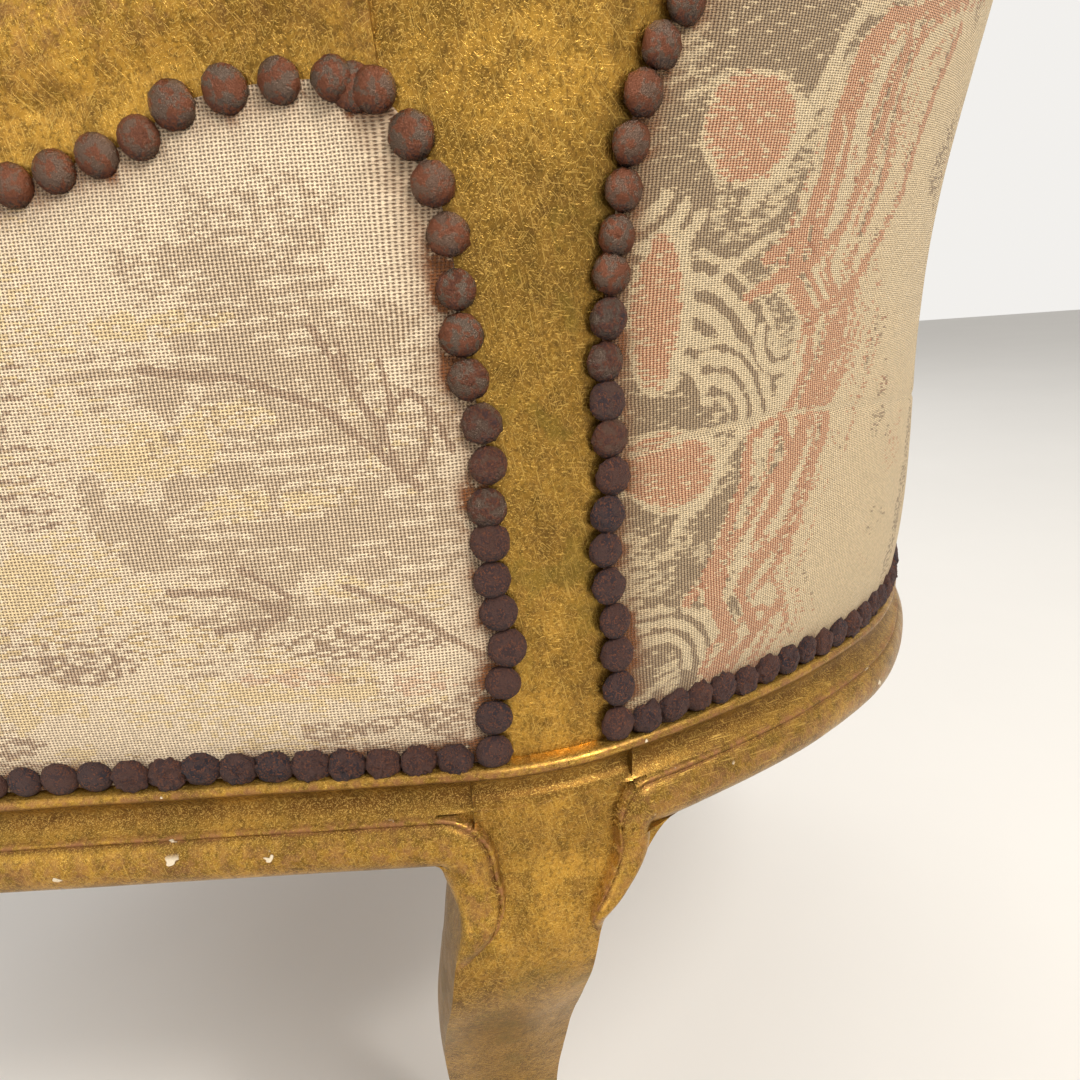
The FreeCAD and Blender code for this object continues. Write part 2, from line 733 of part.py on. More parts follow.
back_cover = new_body("outside_back_cover")
sections = []
cover_levels = levels + arched([0.91, 0.82, 0.73, 0.64, 0.55, 0.46, 0.37, 0.27])
for number, height in enumerate([V.bead_top + 0.8, V.bead_top + 22] + cover_levels, start=1):
    half = arch_half(height, V.cover_lap, V.back_half_angle + 1.4)
    rise = min((height - V.bead_top) / 70, 1, max(panel_top - height, 0) / 80)
    crown = V.cover_edge + (V.back_cover_crown - V.cover_edge) * math.sin(rise * math.pi / 2)
    edges = arc_strip(height, half, V.back_radius + V.cover_gap, V.cover_edge, crown)
    sections.append(level_sketch(back_cover, f"back_cover_{number}", height, edges))
loft(back_cover, "back_cover_form", sections, ruled=True)
pieces["outside_back_cover"] = back_cover

back_pad = new_body("inside_back_pad")
pad_flat = V.back_radius - V.post_depth - 4 * V.pad_gap
pad_low = V.deck_top + V.pad_gap
sections = []
pad_levels = levels + arched([0.87, 0.72, 0.57, 0.42, 0.27])
for number, height in enumerate([pad_low, pad_low + 18] + pad_levels, start=1):
    half = arch_half(height, V.cover_lap, V.back_half_angle + 1)
    rise = min((height - pad_low + 12) / 90, 1, max(panel_top - height, 0) / 110)
    crown = V.pad_edge + (V.back_pad_crown - V.pad_edge) * math.sin(rise * math.pi / 2)
    edges = arc_strip(height, half, pad_flat, -V.pad_edge, -crown)
    sections.append(level_sketch(back_pad, f"back_pad_{number}", height, edges))
loft(back_pad, "back_pad_form", sections, ruled=True)
pieces["inside_back_pad"] = back_pad


# Side covers and inside arm pads: upright sections along the side.
def side_strip(low, high, flat, edge, crown, shift=0):
    """Upright strip with a flat side and a crowned side; its top is moved outward by the shift."""
    start = Vector(flat, low, 0)
    return outline(start, [
        Vector(flat + edge, low, 0),
        (Vector(flat + crown + shift * 0.5, (low + high) / 2, 0), Vector(flat + edge + shift, high, 0)),
        Vector(flat + shift, high, 0),
        start,
    ])


def cover_height(run):
    """Top edge of the outside cover: it laps the arm, and turns down in an arch beside the post."""
    arch_start = V.arm_length * 0.072
    if run > arch_start:
        return arm_underside(run) + V.cover_lap
    turned = (arch_start + 2 - run) / V.post_depth
    return arm_underside(arch_start) + V.cover_lap - V.arm_height * turned ** 2.4


side_cover = new_body("outside_arm_cover_right")
stump_back = V.stump_centre - V.stump_size / 2
cover_ends = stump_back + V.cover_lap - 2
cover_starts = -10
sections = []
shares = [0, 0.025, 0.047, 0.07, 0.095, 0.12, 0.17, 0.25, 0.35, 0.5, 0.7, 0.88, 1]
for number, share in enumerate(shares, start=1):
    run = cover_starts + (cover_ends - cover_starts) * share
    high = cover_height(run)
    rise = min((run - cover_starts + 2) / 60, 1, (cover_ends + 2 - run) / 60)
    crown = V.cover_edge + (V.side_cover_crown - V.cover_edge) * math.sin(rise * math.pi / 2)
    edges = side_strip(V.bead_top + 0.8, high, V.cover_gap, V.cover_edge, crown, outward(run, high))
    sections.append(upright_sketch(side_cover, f"side_cover_{number}", on_side(run, 0), SIDE_ANGLE, edges))
loft(side_cover, "side_cover_form", sections, ruled=True)
both_sides("outside_arm_cover", side_cover)

arm_pad = new_body("inside_arm_pad_blank")
pad_start = V.post_depth
sections = []
for number, share in enumerate([0, 0.07, 0.24, 0.5, 0.74, 0.95, 1], start=1):
    run = pad_start + (cover_ends - pad_start) * share
    high = arm_underside(run) + V.cover_lap + 6
    rise = min((run - pad_start + 10) / 50, 1, (cover_ends + 8 - run) / 50)
    crown = V.pad_edge + (V.arm_pad_crown - V.pad_edge) * math.sin(rise * math.pi / 2)
    edges = side_strip(pad_low, high, -V.post_depth - V.pad_gap, -V.pad_edge, -crown)
    sections.append(upright_sketch(arm_pad, f"arm_pad_{number}", on_side(run, 0), SIDE_ANGLE, edges))
loft(arm_pad, "arm_pad_form", sections, ruled=True)
both_sides("inside_arm_pad", cut("inside_arm_pad_right", arm_pad, [back_pad]))

# Elbow pads on top of the arms.
elbow = new_body("elbow_pad_blank")
sections = []
for number, share in enumerate([0, 0.08, 0.3, 0.6, 0.88, 1], start=1):
    run = V.elbow_start + V.elbow_length * share
    rise = min(share, 1 - share) * 4
    crown = 5 + (V.elbow_crown - 5) * math.sin(min(rise + 0.08, 1) * math.pi / 2)
    base = arm_upperside(run) - V.arm_height * 0.08
    inner = Vector(-V.post_depth + 5, base, 0)
    outer = Vector(-5, base, 0)
    edges = outline(inner, [
        outer,
        outer + Vector(0, 3.5, 0),
        ((inner + outer) * 0.5 + Vector(0, crown, 0), inner + Vector(0, 3.5, 0)),
        inner,
    ])
    sections.append(upright_sketch(elbow, f"elbow_{number}", on_side(run, 0), SIDE_ANGLE, edges))
loft(elbow, "elbow_form", sections, ruled=True)
both_sides("elbow_pad", cut("elbow_pad_right", elbow, [arm_seated]))


# Every piece is sound before any is written.
doc.recompute()
for item in doc.Objects:
    bad = [state for state in item.State if state in ("Invalid", "Error")]
    if bad:
        raise RuntimeError(f"{item.Name} failed: {item.State}")
for node, piece in pieces.items():
    shape = piece.Shape
    if shape.isNull() or not shape.isValid() or not shape.Solids:
        raise RuntimeError(f"{node} has no sound shape")
box = None
for node, piece in pieces.items():
    piece.Shape.exportStep(f"parts/{node}.step")
    if box is None:
        box = FreeCAD.BoundBox(piece.Shape.BoundBox)
    else:
        box.add(piece.Shape.BoundBox)
    print(f"{node}: {len(piece.Shape.Solids)} solid(s), {piece.Shape.Volume / 1000:.1f} cm3")
print(f"overall {box.XLength:.1f} x {box.YLength:.1f} x {box.ZLength:.1f} mm")
print(f"y {box.YMin:.1f} to {box.YMax:.1f}, z {box.ZMin:.2f} to {box.ZMax:.1f}")
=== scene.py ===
# %% [markdown]
# A gilt tub bergere, dressed around its CAD frame. The plan of the chair is one line: a back arc, a tight
# corner at each rear post, a straight side, a front corner and a bowed front. Almost every piece follows
# that line, so the first cells turn it into a function, and the later ones carry sections along it.

# %% The frame and the helpers' library
import math

import bmesh
import bpy
import numpy as np
from mathutils import Matrix, Vector


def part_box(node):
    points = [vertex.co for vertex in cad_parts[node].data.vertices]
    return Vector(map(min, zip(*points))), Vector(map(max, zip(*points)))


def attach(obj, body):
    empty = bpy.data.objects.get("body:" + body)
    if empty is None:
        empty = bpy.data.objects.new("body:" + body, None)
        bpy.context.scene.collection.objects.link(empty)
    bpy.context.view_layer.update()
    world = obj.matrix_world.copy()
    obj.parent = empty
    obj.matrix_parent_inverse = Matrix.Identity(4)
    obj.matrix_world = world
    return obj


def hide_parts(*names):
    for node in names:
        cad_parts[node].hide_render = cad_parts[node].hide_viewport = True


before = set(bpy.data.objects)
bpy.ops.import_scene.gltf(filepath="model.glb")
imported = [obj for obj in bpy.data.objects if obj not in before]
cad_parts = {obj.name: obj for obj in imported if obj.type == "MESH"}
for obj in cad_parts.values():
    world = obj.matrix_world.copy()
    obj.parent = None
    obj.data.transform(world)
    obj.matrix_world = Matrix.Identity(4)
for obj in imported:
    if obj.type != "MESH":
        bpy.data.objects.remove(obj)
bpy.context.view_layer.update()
rng = np.random.default_rng(7)
print("frame nodes:", len(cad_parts))

# %% [markdown]
# Driving sizes, in millimetres and degrees, the same as the construction uses. Shapes are worked out in
# millimetres and turned into metres where a mesh is made.

# %% Driving sizes
BACK_RADIUS, BACK_HALF = 330.0, 55.0
CORNER_RADIUS, SIDE_ANGLE = 108.0, 83.0
SIDE_LENGTH, FRONT_CORNER_RADIUS, FRONT_ANGLE = 335.0, 60.0, 160.0
PLAN_SHIFT = -60.2
RAIL_BOTTOM, RAIL_TOP, NAIL_LINE, CLOTH_BOTTOM = 263.0, 312.0, 302.0, 298.2
POST_DEPTH, BLOCK_DEPTH, POST_TOP = 34.0, 50.0, 820.0
LEAN_START, LEAN_BLEND, LEAN_ANGLE = 390.0, 100.0, 13.0
ARM_TOP, ARM_LENGTH = 545.0, 306.0
STUMP_BACK = 258.0
CREST_TOP, CREST_FALL, CREST_HEIGHT = 898.0, 80.0, 48.0
NAIL_WIDTH = 11.8

# %% [markdown]
# The plan line is three arcs and one straight line, joined without corners. Working in distance along it and
# offset outward from it means that a rail, a cloth edge and a nail row all agree on where the chair is.

# %% The plan line as a function of the distance along it
def heading(angle):
    """Unit plan vector at an angle in degrees, measured from the back towards the right."""
    return np.array([math.sin(math.radians(angle)), math.cos(math.radians(angle))])


rear_centre = heading(BACK_HALF) * (BACK_RADIUS - CORNER_RADIUS)
side_out = heading(SIDE_ANGLE)
side_run = np.array([side_out[1], -side_out[0]])
side_start = rear_centre + side_out * CORNER_RADIUS
side_end = side_start + side_run * SIDE_LENGTH
front_centre = side_end - side_out * FRONT_CORNER_RADIUS
front_radius = FRONT_CORNER_RADIUS + front_centre[0] / math.sin(math.radians(180 - FRONT_ANGLE))
bow_centre = front_centre - heading(FRONT_ANGLE) * (front_radius - FRONT_CORNER_RADIUS)
bow_centre[0] = 0.0

# Distances from the back's middle at which the line's stretches begin.
POST_REAR = math.radians(BACK_HALF) * BACK_RADIUS
POST_FRONT = POST_REAR + math.radians(SIDE_ANGLE - BACK_HALF) * CORNER_RADIUS
SIDE_FRONT = POST_FRONT + SIDE_LENGTH
BOW_START = SIDE_FRONT + math.radians(FRONT_ANGLE - SIDE_ANGLE) * FRONT_CORNER_RADIUS
BOW_MIDDLE = BOW_START + math.radians(180 - FRONT_ANGLE) * front_radius


def lean(z):
    """Backward shift at a height: nothing, then a parabola, then a line at the rake's slope."""
    slope = math.tan(math.radians(LEAN_ANGLE))
    rise = np.asarray(z, float) - LEAN_START
    blended = slope * rise * rise / (2 * LEAN_BLEND)
    return np.where(rise <= 0, 0.0, np.where(rise <= LEAN_BLEND, blended, slope * (rise - LEAN_BLEND / 2)))


# %% [markdown]
# The real tub isn't a true arc. A new plan could be drawn, but a curve of small offsets laid on the arc keeps
# every piece on one line and is easy to change.

# %% Smooth curves and the squared tub
def smooth_through(x, xs, ys):
    """A curve through given points: cubic Hermite pieces with Catmull-Rom slopes."""
    xs, ys = np.asarray(xs, float), np.asarray(ys, float)
    if xs[0] > xs[-1]:
        xs, ys = xs[::-1], ys[::-1]
    x = np.clip(x, xs[0], xs[-1])
    slope = np.gradient(ys, xs)
    i = np.clip(np.searchsorted(xs, x) - 1, 0, len(xs) - 2)
    w = xs[i + 1] - xs[i]
    t = (x - xs[i]) / w
    return ((2 * t ** 3 - 3 * t ** 2 + 1) * ys[i] + (t ** 3 - 2 * t ** 2 + t) * w * slope[i]
            + (3 * t ** 2 - 2 * t ** 3) * ys[i + 1] + (t ** 3 - t ** 2) * w * slope[i + 1])


# The tub is a little squarer than an arc: these offsets push it out beside the posts and in at the middle.
SQUARED_AT = np.array([0.0, 60, 120, 175, 230, 280, 316.8])
SQUARED_BY = np.array([-6.0, -4.5, 2.5, 7.0, 4.5, 1.2, 0.0])


def on_line(s, out, z, leaning=1.0):
    """Points in metres at a distance s along the plan line, an offset outward and a height.

    Each stretch is an arc: centre + (radius + out) * (sin a, cos a), with a growing along it, or a line."""
    s, out, z = np.broadcast_arrays(np.asarray(s, float), np.asarray(out, float), np.asarray(z, float))
    side = np.where(s < 0, -1.0, 1.0)
    run = np.abs(s)
    out = out + smooth_through(run, SQUARED_AT, SQUARED_BY) * (run < POST_REAR)
    stretches = [
        (0.0, np.zeros(2), BACK_RADIUS, 0.0),
        (POST_REAR, rear_centre, CORNER_RADIUS, BACK_HALF),
        (POST_FRONT, None, None, SIDE_ANGLE),
        (SIDE_FRONT, front_centre, FRONT_CORNER_RADIUS, SIDE_ANGLE),
        (BOW_START, bow_centre, front_radius, FRONT_ANGLE),
    ]
    x = np.zeros_like(run)
    y = np.zeros_like(run)
    for begin, centre, radius, first in stretches:
        here = run >= begin
        if centre is None:
            px = side_start[0] + side_run[0] * (run - begin) + side_out[0] * out
            py = side_start[1] + side_run[1] * (run - begin) + side_out[1] * out
        else:
            a = math.radians(first) + (run - begin) / radius
            px = centre[0] + (radius + out) * np.sin(a)
            py = centre[1] + (radius + out) * np.cos(a)
        x = np.where(here, px, x)
        y = np.where(here, py, y)
    return np.stack([x * side, y + lean(z) * leaning + PLAN_SHIFT, z], axis=-1) / 1000


# %% [markdown]
# Wood, cloth and rust are never quite even. Value noise computed here, and not by a texture, can move points
# and paint masks as well as colour them.

# %% Steps and noise
def step_up(x, low, high):
    """Smoothstep: 3t^2 - 2t^3 of x between low and high."""
    t = np.clip((np.asarray(x, float) - low) / (high - low), 0, 1)
    return t * t * (3 - 2 * t)


def lattice_noise(x, y, seed):
    """Value noise: random numbers on a unit lattice, blended with smoothsteps."""
    table = np.random.default_rng(seed).random((64, 64))
    xi, yi = np.floor(x).astype(int), np.floor(y).astype(int)
    fx, fy = x - xi, y - yi
    fx, fy = fx * fx * (3 - 2 * fx), fy * fy * (3 - 2 * fy)
    x0, x1, y0, y1 = xi % 64, (xi + 1) % 64, yi % 64, (yi + 1) % 64
    top = table[x0, y0] * (1 - fx) + table[x1, y0] * fx
    low = table[x0, y1] * (1 - fx) + table[x1, y1] * fx
    return top * (1 - fy) + low * fy


def layered_noise(x, y, size, seed, layers=4):
    """Sum of noises, each half the size and half the strength of the one before, scaled to 0..1."""
    total, weight = 0.0, 0.0
    for k in range(layers):
        total = total + lattice_noise(x / size * 2 ** k, y / size * 2 ** k, seed + k) / 2 ** k
        weight += 1 / 2 ** k
    return total / weight


print("plan line:", round(BOW_MIDDLE), "mm from the back's middle to the front's middle")

# %% [markdown]
# Most pieces are rings of points stacked along a run, as a joiner's template is carried along a rail. A few
# helpers turn whole arrays of points into meshes, with the cloth's map and the painted masks on them.

# %% Turning points into meshes
def linked(name, mesh):
    """A new object of a mesh, linked to the scene."""
    made = bpy.data.objects.new(name, mesh)
    bpy.context.scene.collection.objects.link(made)
    return made


def smooth_mesh(name, verts, faces):
    """A smooth-shaded mesh from points in metres and lists of faces."""
    mesh = bpy.data.meshes.new(name)
    mesh.from_pydata(verts.tolist(), [], faces)
    mesh.update()
    mesh.polygons.foreach_set("use_smooth", np.ones(len(mesh.polygons), bool))
    return mesh


def add_map(mesh, uv):
    """Adds the cloth's map in metres, from one pair of numbers for each point."""
    loops = np.empty(len(mesh.loops), int)
    mesh.loops.foreach_get("vertex_index", loops)
    mesh.uv_layers.new(name="Cloth").data.foreach_set("uv", uv[loops].ravel())


def add_paint(mesh, label, field):
    """Adds a colour attribute, from three or four numbers for each point."""
    if field.shape[1] == 3:
        field = np.hstack([field, np.ones((len(field), 1))])
    layer = mesh.color_attributes.new(label, "FLOAT_COLOR", "POINT")
    layer.data.foreach_set("color", field.astype(np.float32).ravel())


def ring_mesh(name, points, wear):
    """A mesh from rows of points: each row is a closed ring, and fans of triangles cap the first and the last."""
    rows, cols = points.shape[:2]
    index = np.arange(rows * cols).reshape(rows, cols)
    following = np.roll(index, -1, axis=1)
    faces = np.stack([index[:-1], following[:-1], following[1:], index[1:]], axis=-1).reshape(-1, 4).tolist()
    tip = rows * cols
    faces += [[b, a, tip] for a, b in zip(index[0].tolist(), following[0].tolist())]
    faces += [[a, b, tip + 1] for a, b in zip(index[-1].tolist(), following[-1].tolist())]
    verts = np.vstack([points.reshape(-1, 3), points[0].mean(axis=0), points[-1].mean(axis=0)])
    mesh = smooth_mesh(name, verts, faces)
    flat = wear.reshape(-1, 3)
    add_paint(mesh, "WearAndShade", np.vstack([flat, flat[:1], flat[-1:]]))
    return linked(name, mesh)


def merged(mesh, apart, outwards=False):
    """Joins points closer than a distance and, if asked, turns every face of the closed mesh outwards."""
    work = bmesh.new()
    work.from_mesh(mesh)
    bmesh.ops.remove_doubles(work, verts=work.verts, dist=apart)
    if outwards:
        bmesh.ops.recalc_face_normals(work, faces=work.faces)
    work.to_mesh(mesh)
    work.free()


# %% [markdown]
# Every finish is a tree of nodes. A few helpers make a node, link it and lay one colour over another by a
# mask, so that a finish reads as a list of layers, from the ground up.

# %% Node helpers
def node(tree, kind, at=(0, 0), **settings):
    """A new node of a kind, with its settings."""
    made = tree.nodes.new(kind)
    made.location = at
    for key, value in settings.items():
        setattr(made, key, value)
    return made


def link(tree, a, b):
    tree.links.new(a, b)


def noise(tree, vector, scale, detail=4.0, rough=0.55, stretch=None, distortion=0.0):
    """A noise texture on a vector, stretched if asked; gives its factor socket."""
    if stretch is not None:
        mapping = node(tree, "ShaderNodeMapping", vector_type="TEXTURE")
        mapping.inputs["Scale"].default_value = [1 / share for share in stretch[0]]
        mapping.inputs["Rotation"].default_value = stretch[1]
        link(tree, vector, mapping.inputs["Vector"])
        vector = mapping.outputs["Vector"]
    made = node(tree, "ShaderNodeTexNoise")
    made.inputs["Scale"].default_value = scale
    made.inputs["Detail"].default_value = detail
    made.inputs["Roughness"].default_value = rough
    made.inputs["Distortion"].default_value = distortion
    link(tree, vector, made.inputs["Vector"])
    return made.outputs["Fac"]


def ramp(tree, value, low, high, to=(0.0, 1.0)):
    """Maps low..high to the two ends, held outside them, with a smooth step between."""
    made = node(tree, "ShaderNodeMapRange", interpolation_type="SMOOTHSTEP")
    made.inputs["From Min"].default_value = low
    made.inputs["From Max"].default_value = high
    made.inputs["To Min"].default_value = to[0]
    made.inputs["To Max"].default_value = to[1]
    link(tree, value, made.inputs["Value"])
    return made.outputs["Result"]


def maths(tree, operation, a, b=0.0, c=0.0):
    """A Math node on sockets or numbers; gives its value socket."""
    made = node(tree, "ShaderNodeMath", operation=operation)
    for socket, value in zip(made.inputs, (a, b, c)):
        if isinstance(value, (int, float)):
            socket.default_value = value
        else:
            link(tree, value, socket)
    return made.outputs[0]


def times(tree, a, b):
    """The product of two values."""
    return maths(tree, "MULTIPLY", a, b)


def scaled(tree, value, by, plus):
    """A value times one number or socket, plus another."""
    return maths(tree, "MULTIPLY_ADD", value, by, plus)


def mix(tree, factor, a, b, blend="MIX"):
    """Mixes two colours, each a socket or a colour, by a factor."""
    made = node(tree, "ShaderNodeMix", data_type="RGBA", blend_type=blend)
    for socket, value in ((made.inputs[0], factor), (made.inputs[6], a), (made.inputs[7], b)):
        if isinstance(value, (int, float)):
            socket.default_value = value
        elif isinstance(value, tuple):
            socket.default_value = (*value, 1.0) if len(value) == 3 else value
        else:
            link(tree, value, socket)
    return made.outputs[2]


# %% Layers, painted masks and the shader
def glazed(tree, colour, layers):
    """Lays colours over one another, each by its own mask."""
    for mask, over in layers:
        colour = mix(tree, mask, colour, over)
    return colour


def paint_of(tree, label):
    """The four values of a painted attribute, as sockets."""
    paint = node(tree, "ShaderNodeVertexColor", layer_name=label)
    split = node(tree, "ShaderNodeSeparateColor")
    link(tree, paint.outputs["Color"], split.inputs["Color"])
    return [*split.outputs, paint.outputs["Alpha"]]


def object_place(tree):
    """The socket of Object coordinates, which are metres in the chair's own frame."""
    return node(tree, "ShaderNodeTexCoord").outputs["Object"]


def new_material(name):
    """An empty material with a Principled shader; gives the material, its tree and the shader."""
    made = bpy.data.materials.new(name)
    made.use_nodes = True
    tree = made.node_tree
    tree.nodes.clear()
    shader = node(tree, "ShaderNodeBsdfPrincipled", (600, 0))
    output = node(tree, "ShaderNodeOutputMaterial", (900, 0))
    link(tree, shader.outputs["BSDF"], output.inputs["Surface"])
    return made, tree, shader


def bump(tree, shader, height, distance, strength=1.0):
    """Feeds a height through a Bump node to the shader's normal."""
    made = node(tree, "ShaderNodeBump", (400, -300))
    made.inputs["Distance"].default_value = distance
    made.inputs["Strength"].default_value = strength
    link(tree, height, made.inputs["Height"])
    link(tree, made.outputs["Normal"], shader.inputs["Normal"])


def rgb(r, g, b):
    """A colour given as it looks on a screen, 0 to 255, turned into the linear values shaders use."""
    c = np.array([r, g, b]) / 255
    return tuple(float(v) for v in np.where(c <= 0.04045, c / 12.92, ((c + 0.055) / 1.055) ** 2.4))


# %% [markdown]
# Old gilding is covered with hair-fine scratches from dusting. They are noise pulled out into threads, turned
# five ways, and kept in a node group, so that every gilt piece shares one set of nodes.

# %% The scratch group
def scratch_group():
    """Five stretched noises, cut to thin lines; the brightest of them counts."""
    group = bpy.data.node_groups.new("FineScratches", "ShaderNodeTree")
    group.interface.new_socket(name="Vector", in_out="INPUT", socket_type="NodeSocketVector")
    group.interface.new_socket(name="Scratches", in_out="OUTPUT", socket_type="NodeSocketFloat")
    start = node(group, "NodeGroupInput")
    end = node(group, "NodeGroupOutput")
    lines = []
    for turn, size in ((0.7, 1.0), (-0.6, 1.3), (1.45, 0.8), (-1.1, 1.1), (0.15, 1.2)):
        field = noise(group, start.outputs["Vector"], 3000 * size, 0.0, 0.3,
                      stretch=((1.0, 1.0, 0.02), (turn, turn * 0.5, turn * 0.4)))
        lines.append(ramp(group, field, 0.69, 0.75))
    total = lines[0]
    for line in lines[1:]:
        total = maths(group, "MAXIMUM", total, line)
    link(group, total, end.inputs["Scratches"])
    return group


scratches = scratch_group()


# %% [markdown]
# Gilding is thin leaf over red clay over white gesso. Light leaf, brown toning in the hollows, rubs that
# show the clay and chips that show the gesso are layers mixed by masks. A mesh carries a colour attribute of
# wear and painted shade: its red channel is high on ridges, its green one in hollows and its blue one where the
# gold is duller and darker; on the posts the blue channel also carries painted shade across the upright's middle.

# %% Gilded wood
def gilding(name, light, tone, dark):
    """Leaf, toning, rubs down to the clay and chips down to the gesso, from the coarsest patches to the finest."""
    made, tree, shader = new_material(name)
    place = object_place(tree)
    ridge, hollow, dull_and_shade, _ = paint_of(tree, "WearAndShade")
    patches = noise(tree, place, 16, 5, 0.6, distortion=0.5)
    mottle = noise(tree, place, 120, 6, 0.65)
    grains = noise(tree, place, 700, 4, 0.7)
    lines = node(tree, "ShaderNodeGroup", node_tree=scratches)
    link(tree, place, lines.inputs["Vector"])
    marks = lines.outputs["Scratches"]
    flecks = ramp(tree, noise(tree, place, 1300, 3, 0.6), 0.56, 0.68, (0.0, 0.24))
    stain = ramp(tree, noise(tree, place, 46, 4, 0.6), 0.54, 0.64, (0.0, 0.4))
    rub_noise = ramp(tree, noise(tree, place, 210, 6, 0.7), 0.42, 0.60)
    rub = times(tree, rub_noise, times(tree, ridge, 0.8))
    chip_noise = ramp(tree, noise(tree, place, 85, 3, 0.6), 0.655, 0.675)
    chip = times(tree, chip_noise, ramp(tree, ridge, 0.3, 0.5))
    toned = glazed(tree, light, (
        (ramp(tree, patches, 0.34, 0.64), tone),
        (ramp(tree, mottle, 0.42, 0.66, (0.0, 0.6)), dark),
        # Blue channel: duller, darker gold, and on the posts painted shade across the middle of the upright.
        (times(tree, dull_and_shade, 0.62), rgb(106, 80, 34)),
        (ramp(tree, grains, 0.46, 0.64, (0.0, 0.6)), dark),
        (flecks, rgb(240, 196, 96)),
        (times(tree, hollow, 0.8), rgb(84, 50, 20)),
        (times(tree, marks, 0.42), rgb(230, 188, 98)),
        (times(tree, stain, dull_and_shade), rgb(110, 98, 36)),
        (rub, rgb(136, 84, 50)),
        (chip, rgb(216, 200, 172))))
    link(tree, toned, shader.inputs["Base Color"])
    bare = maths(tree, "MAXIMUM", times(tree, rub, 0.8), chip)
    link(tree, scaled(tree, bare, -0.85, 0.88), shader.inputs["Metallic"])
    rough = scaled(tree, mottle, 0.30, 0.15)
    height = times(tree, mottle, 1.2)
    for share, rougher, higher in ((bare, 0.35, 0.0), (hollow, 0.2, 0.0), (grains, 0.0, 0.5), (marks, 0.0, 0.25),
                                   (chip, 0.0, -1.5)):
        if rougher:
            rough = scaled(tree, share, rougher, rough)
        if higher:
            height = scaled(tree, share, higher, height)
    link(tree, rough, shader.inputs["Roughness"])
    bump(tree, shader, height, 0.00022, 0.8)
    return made


gilt = gilding("gilt_wood", rgb(204, 154, 62), rgb(146, 108, 42), rgb(78, 56, 22))
print("gilding uses", len(gilt.node_tree.nodes), "nodes")

# %% [markdown]
# Plain wood of the inner frame: beech, with grain that runs along each member. It shows only from below.

# %% Bare wood
def bare_wood(name, light, dark, along):
    """Long grain, short dark pores and grey dirt; along is the letter of the grain's axis."""
    made, tree, shader = new_material(name)
    place = object_place(tree)
    stretch = [9.0, 9.0, 9.0]
    stretch["xyz".index(along)] = 0.8
    lengthwise = (tuple(stretch), (0, 0, 0))
    grain = noise(tree, place, 14, 6, 0.62, stretch=lengthwise, distortion=0.6)
    pores = noise(tree, place, 160, 3, 0.5, stretch=lengthwise)
    dirt = noise(tree, place, 9, 4, 0.6)
    colour = glazed(tree, light, (
        (ramp(tree, grain, 0.35, 0.66), dark),
        (ramp(tree, pores, 0.55, 0.75, (0, 0.4)), rgb(92, 58, 32)),
        (ramp(tree, dirt, 0.5, 0.75, (0, 0.45)), rgb(84, 64, 44))))
    link(tree, colour, shader.inputs["Base Color"])
    link(tree, ramp(tree, grain, 0.2, 0.8, (0.55, 0.75)), shader.inputs["Roughness"])
    bump(tree, shader, maths(tree, "ADD", grain, pores), 0.0003, 0.5)
    return made


beech_along, beech_across = (
    bare_wood(name, rgb(196, 150, 104), rgb(148, 104, 66), along)
    for name, along in (("beech_lengthwise", "y"), ("beech_crosswise", "x")))
print("two beech woods, grained along y and x")

# %% [markdown]
# Cloth: every panel carries a UV map in metres, so the threads keep one size whatever the panel's shape.
# The weave group puts out the height of the threads, a mask of the gaps between them, and a slow
# unevenness from thread to thread. Plain canvas and the ribbed tapestry use it with different counts.

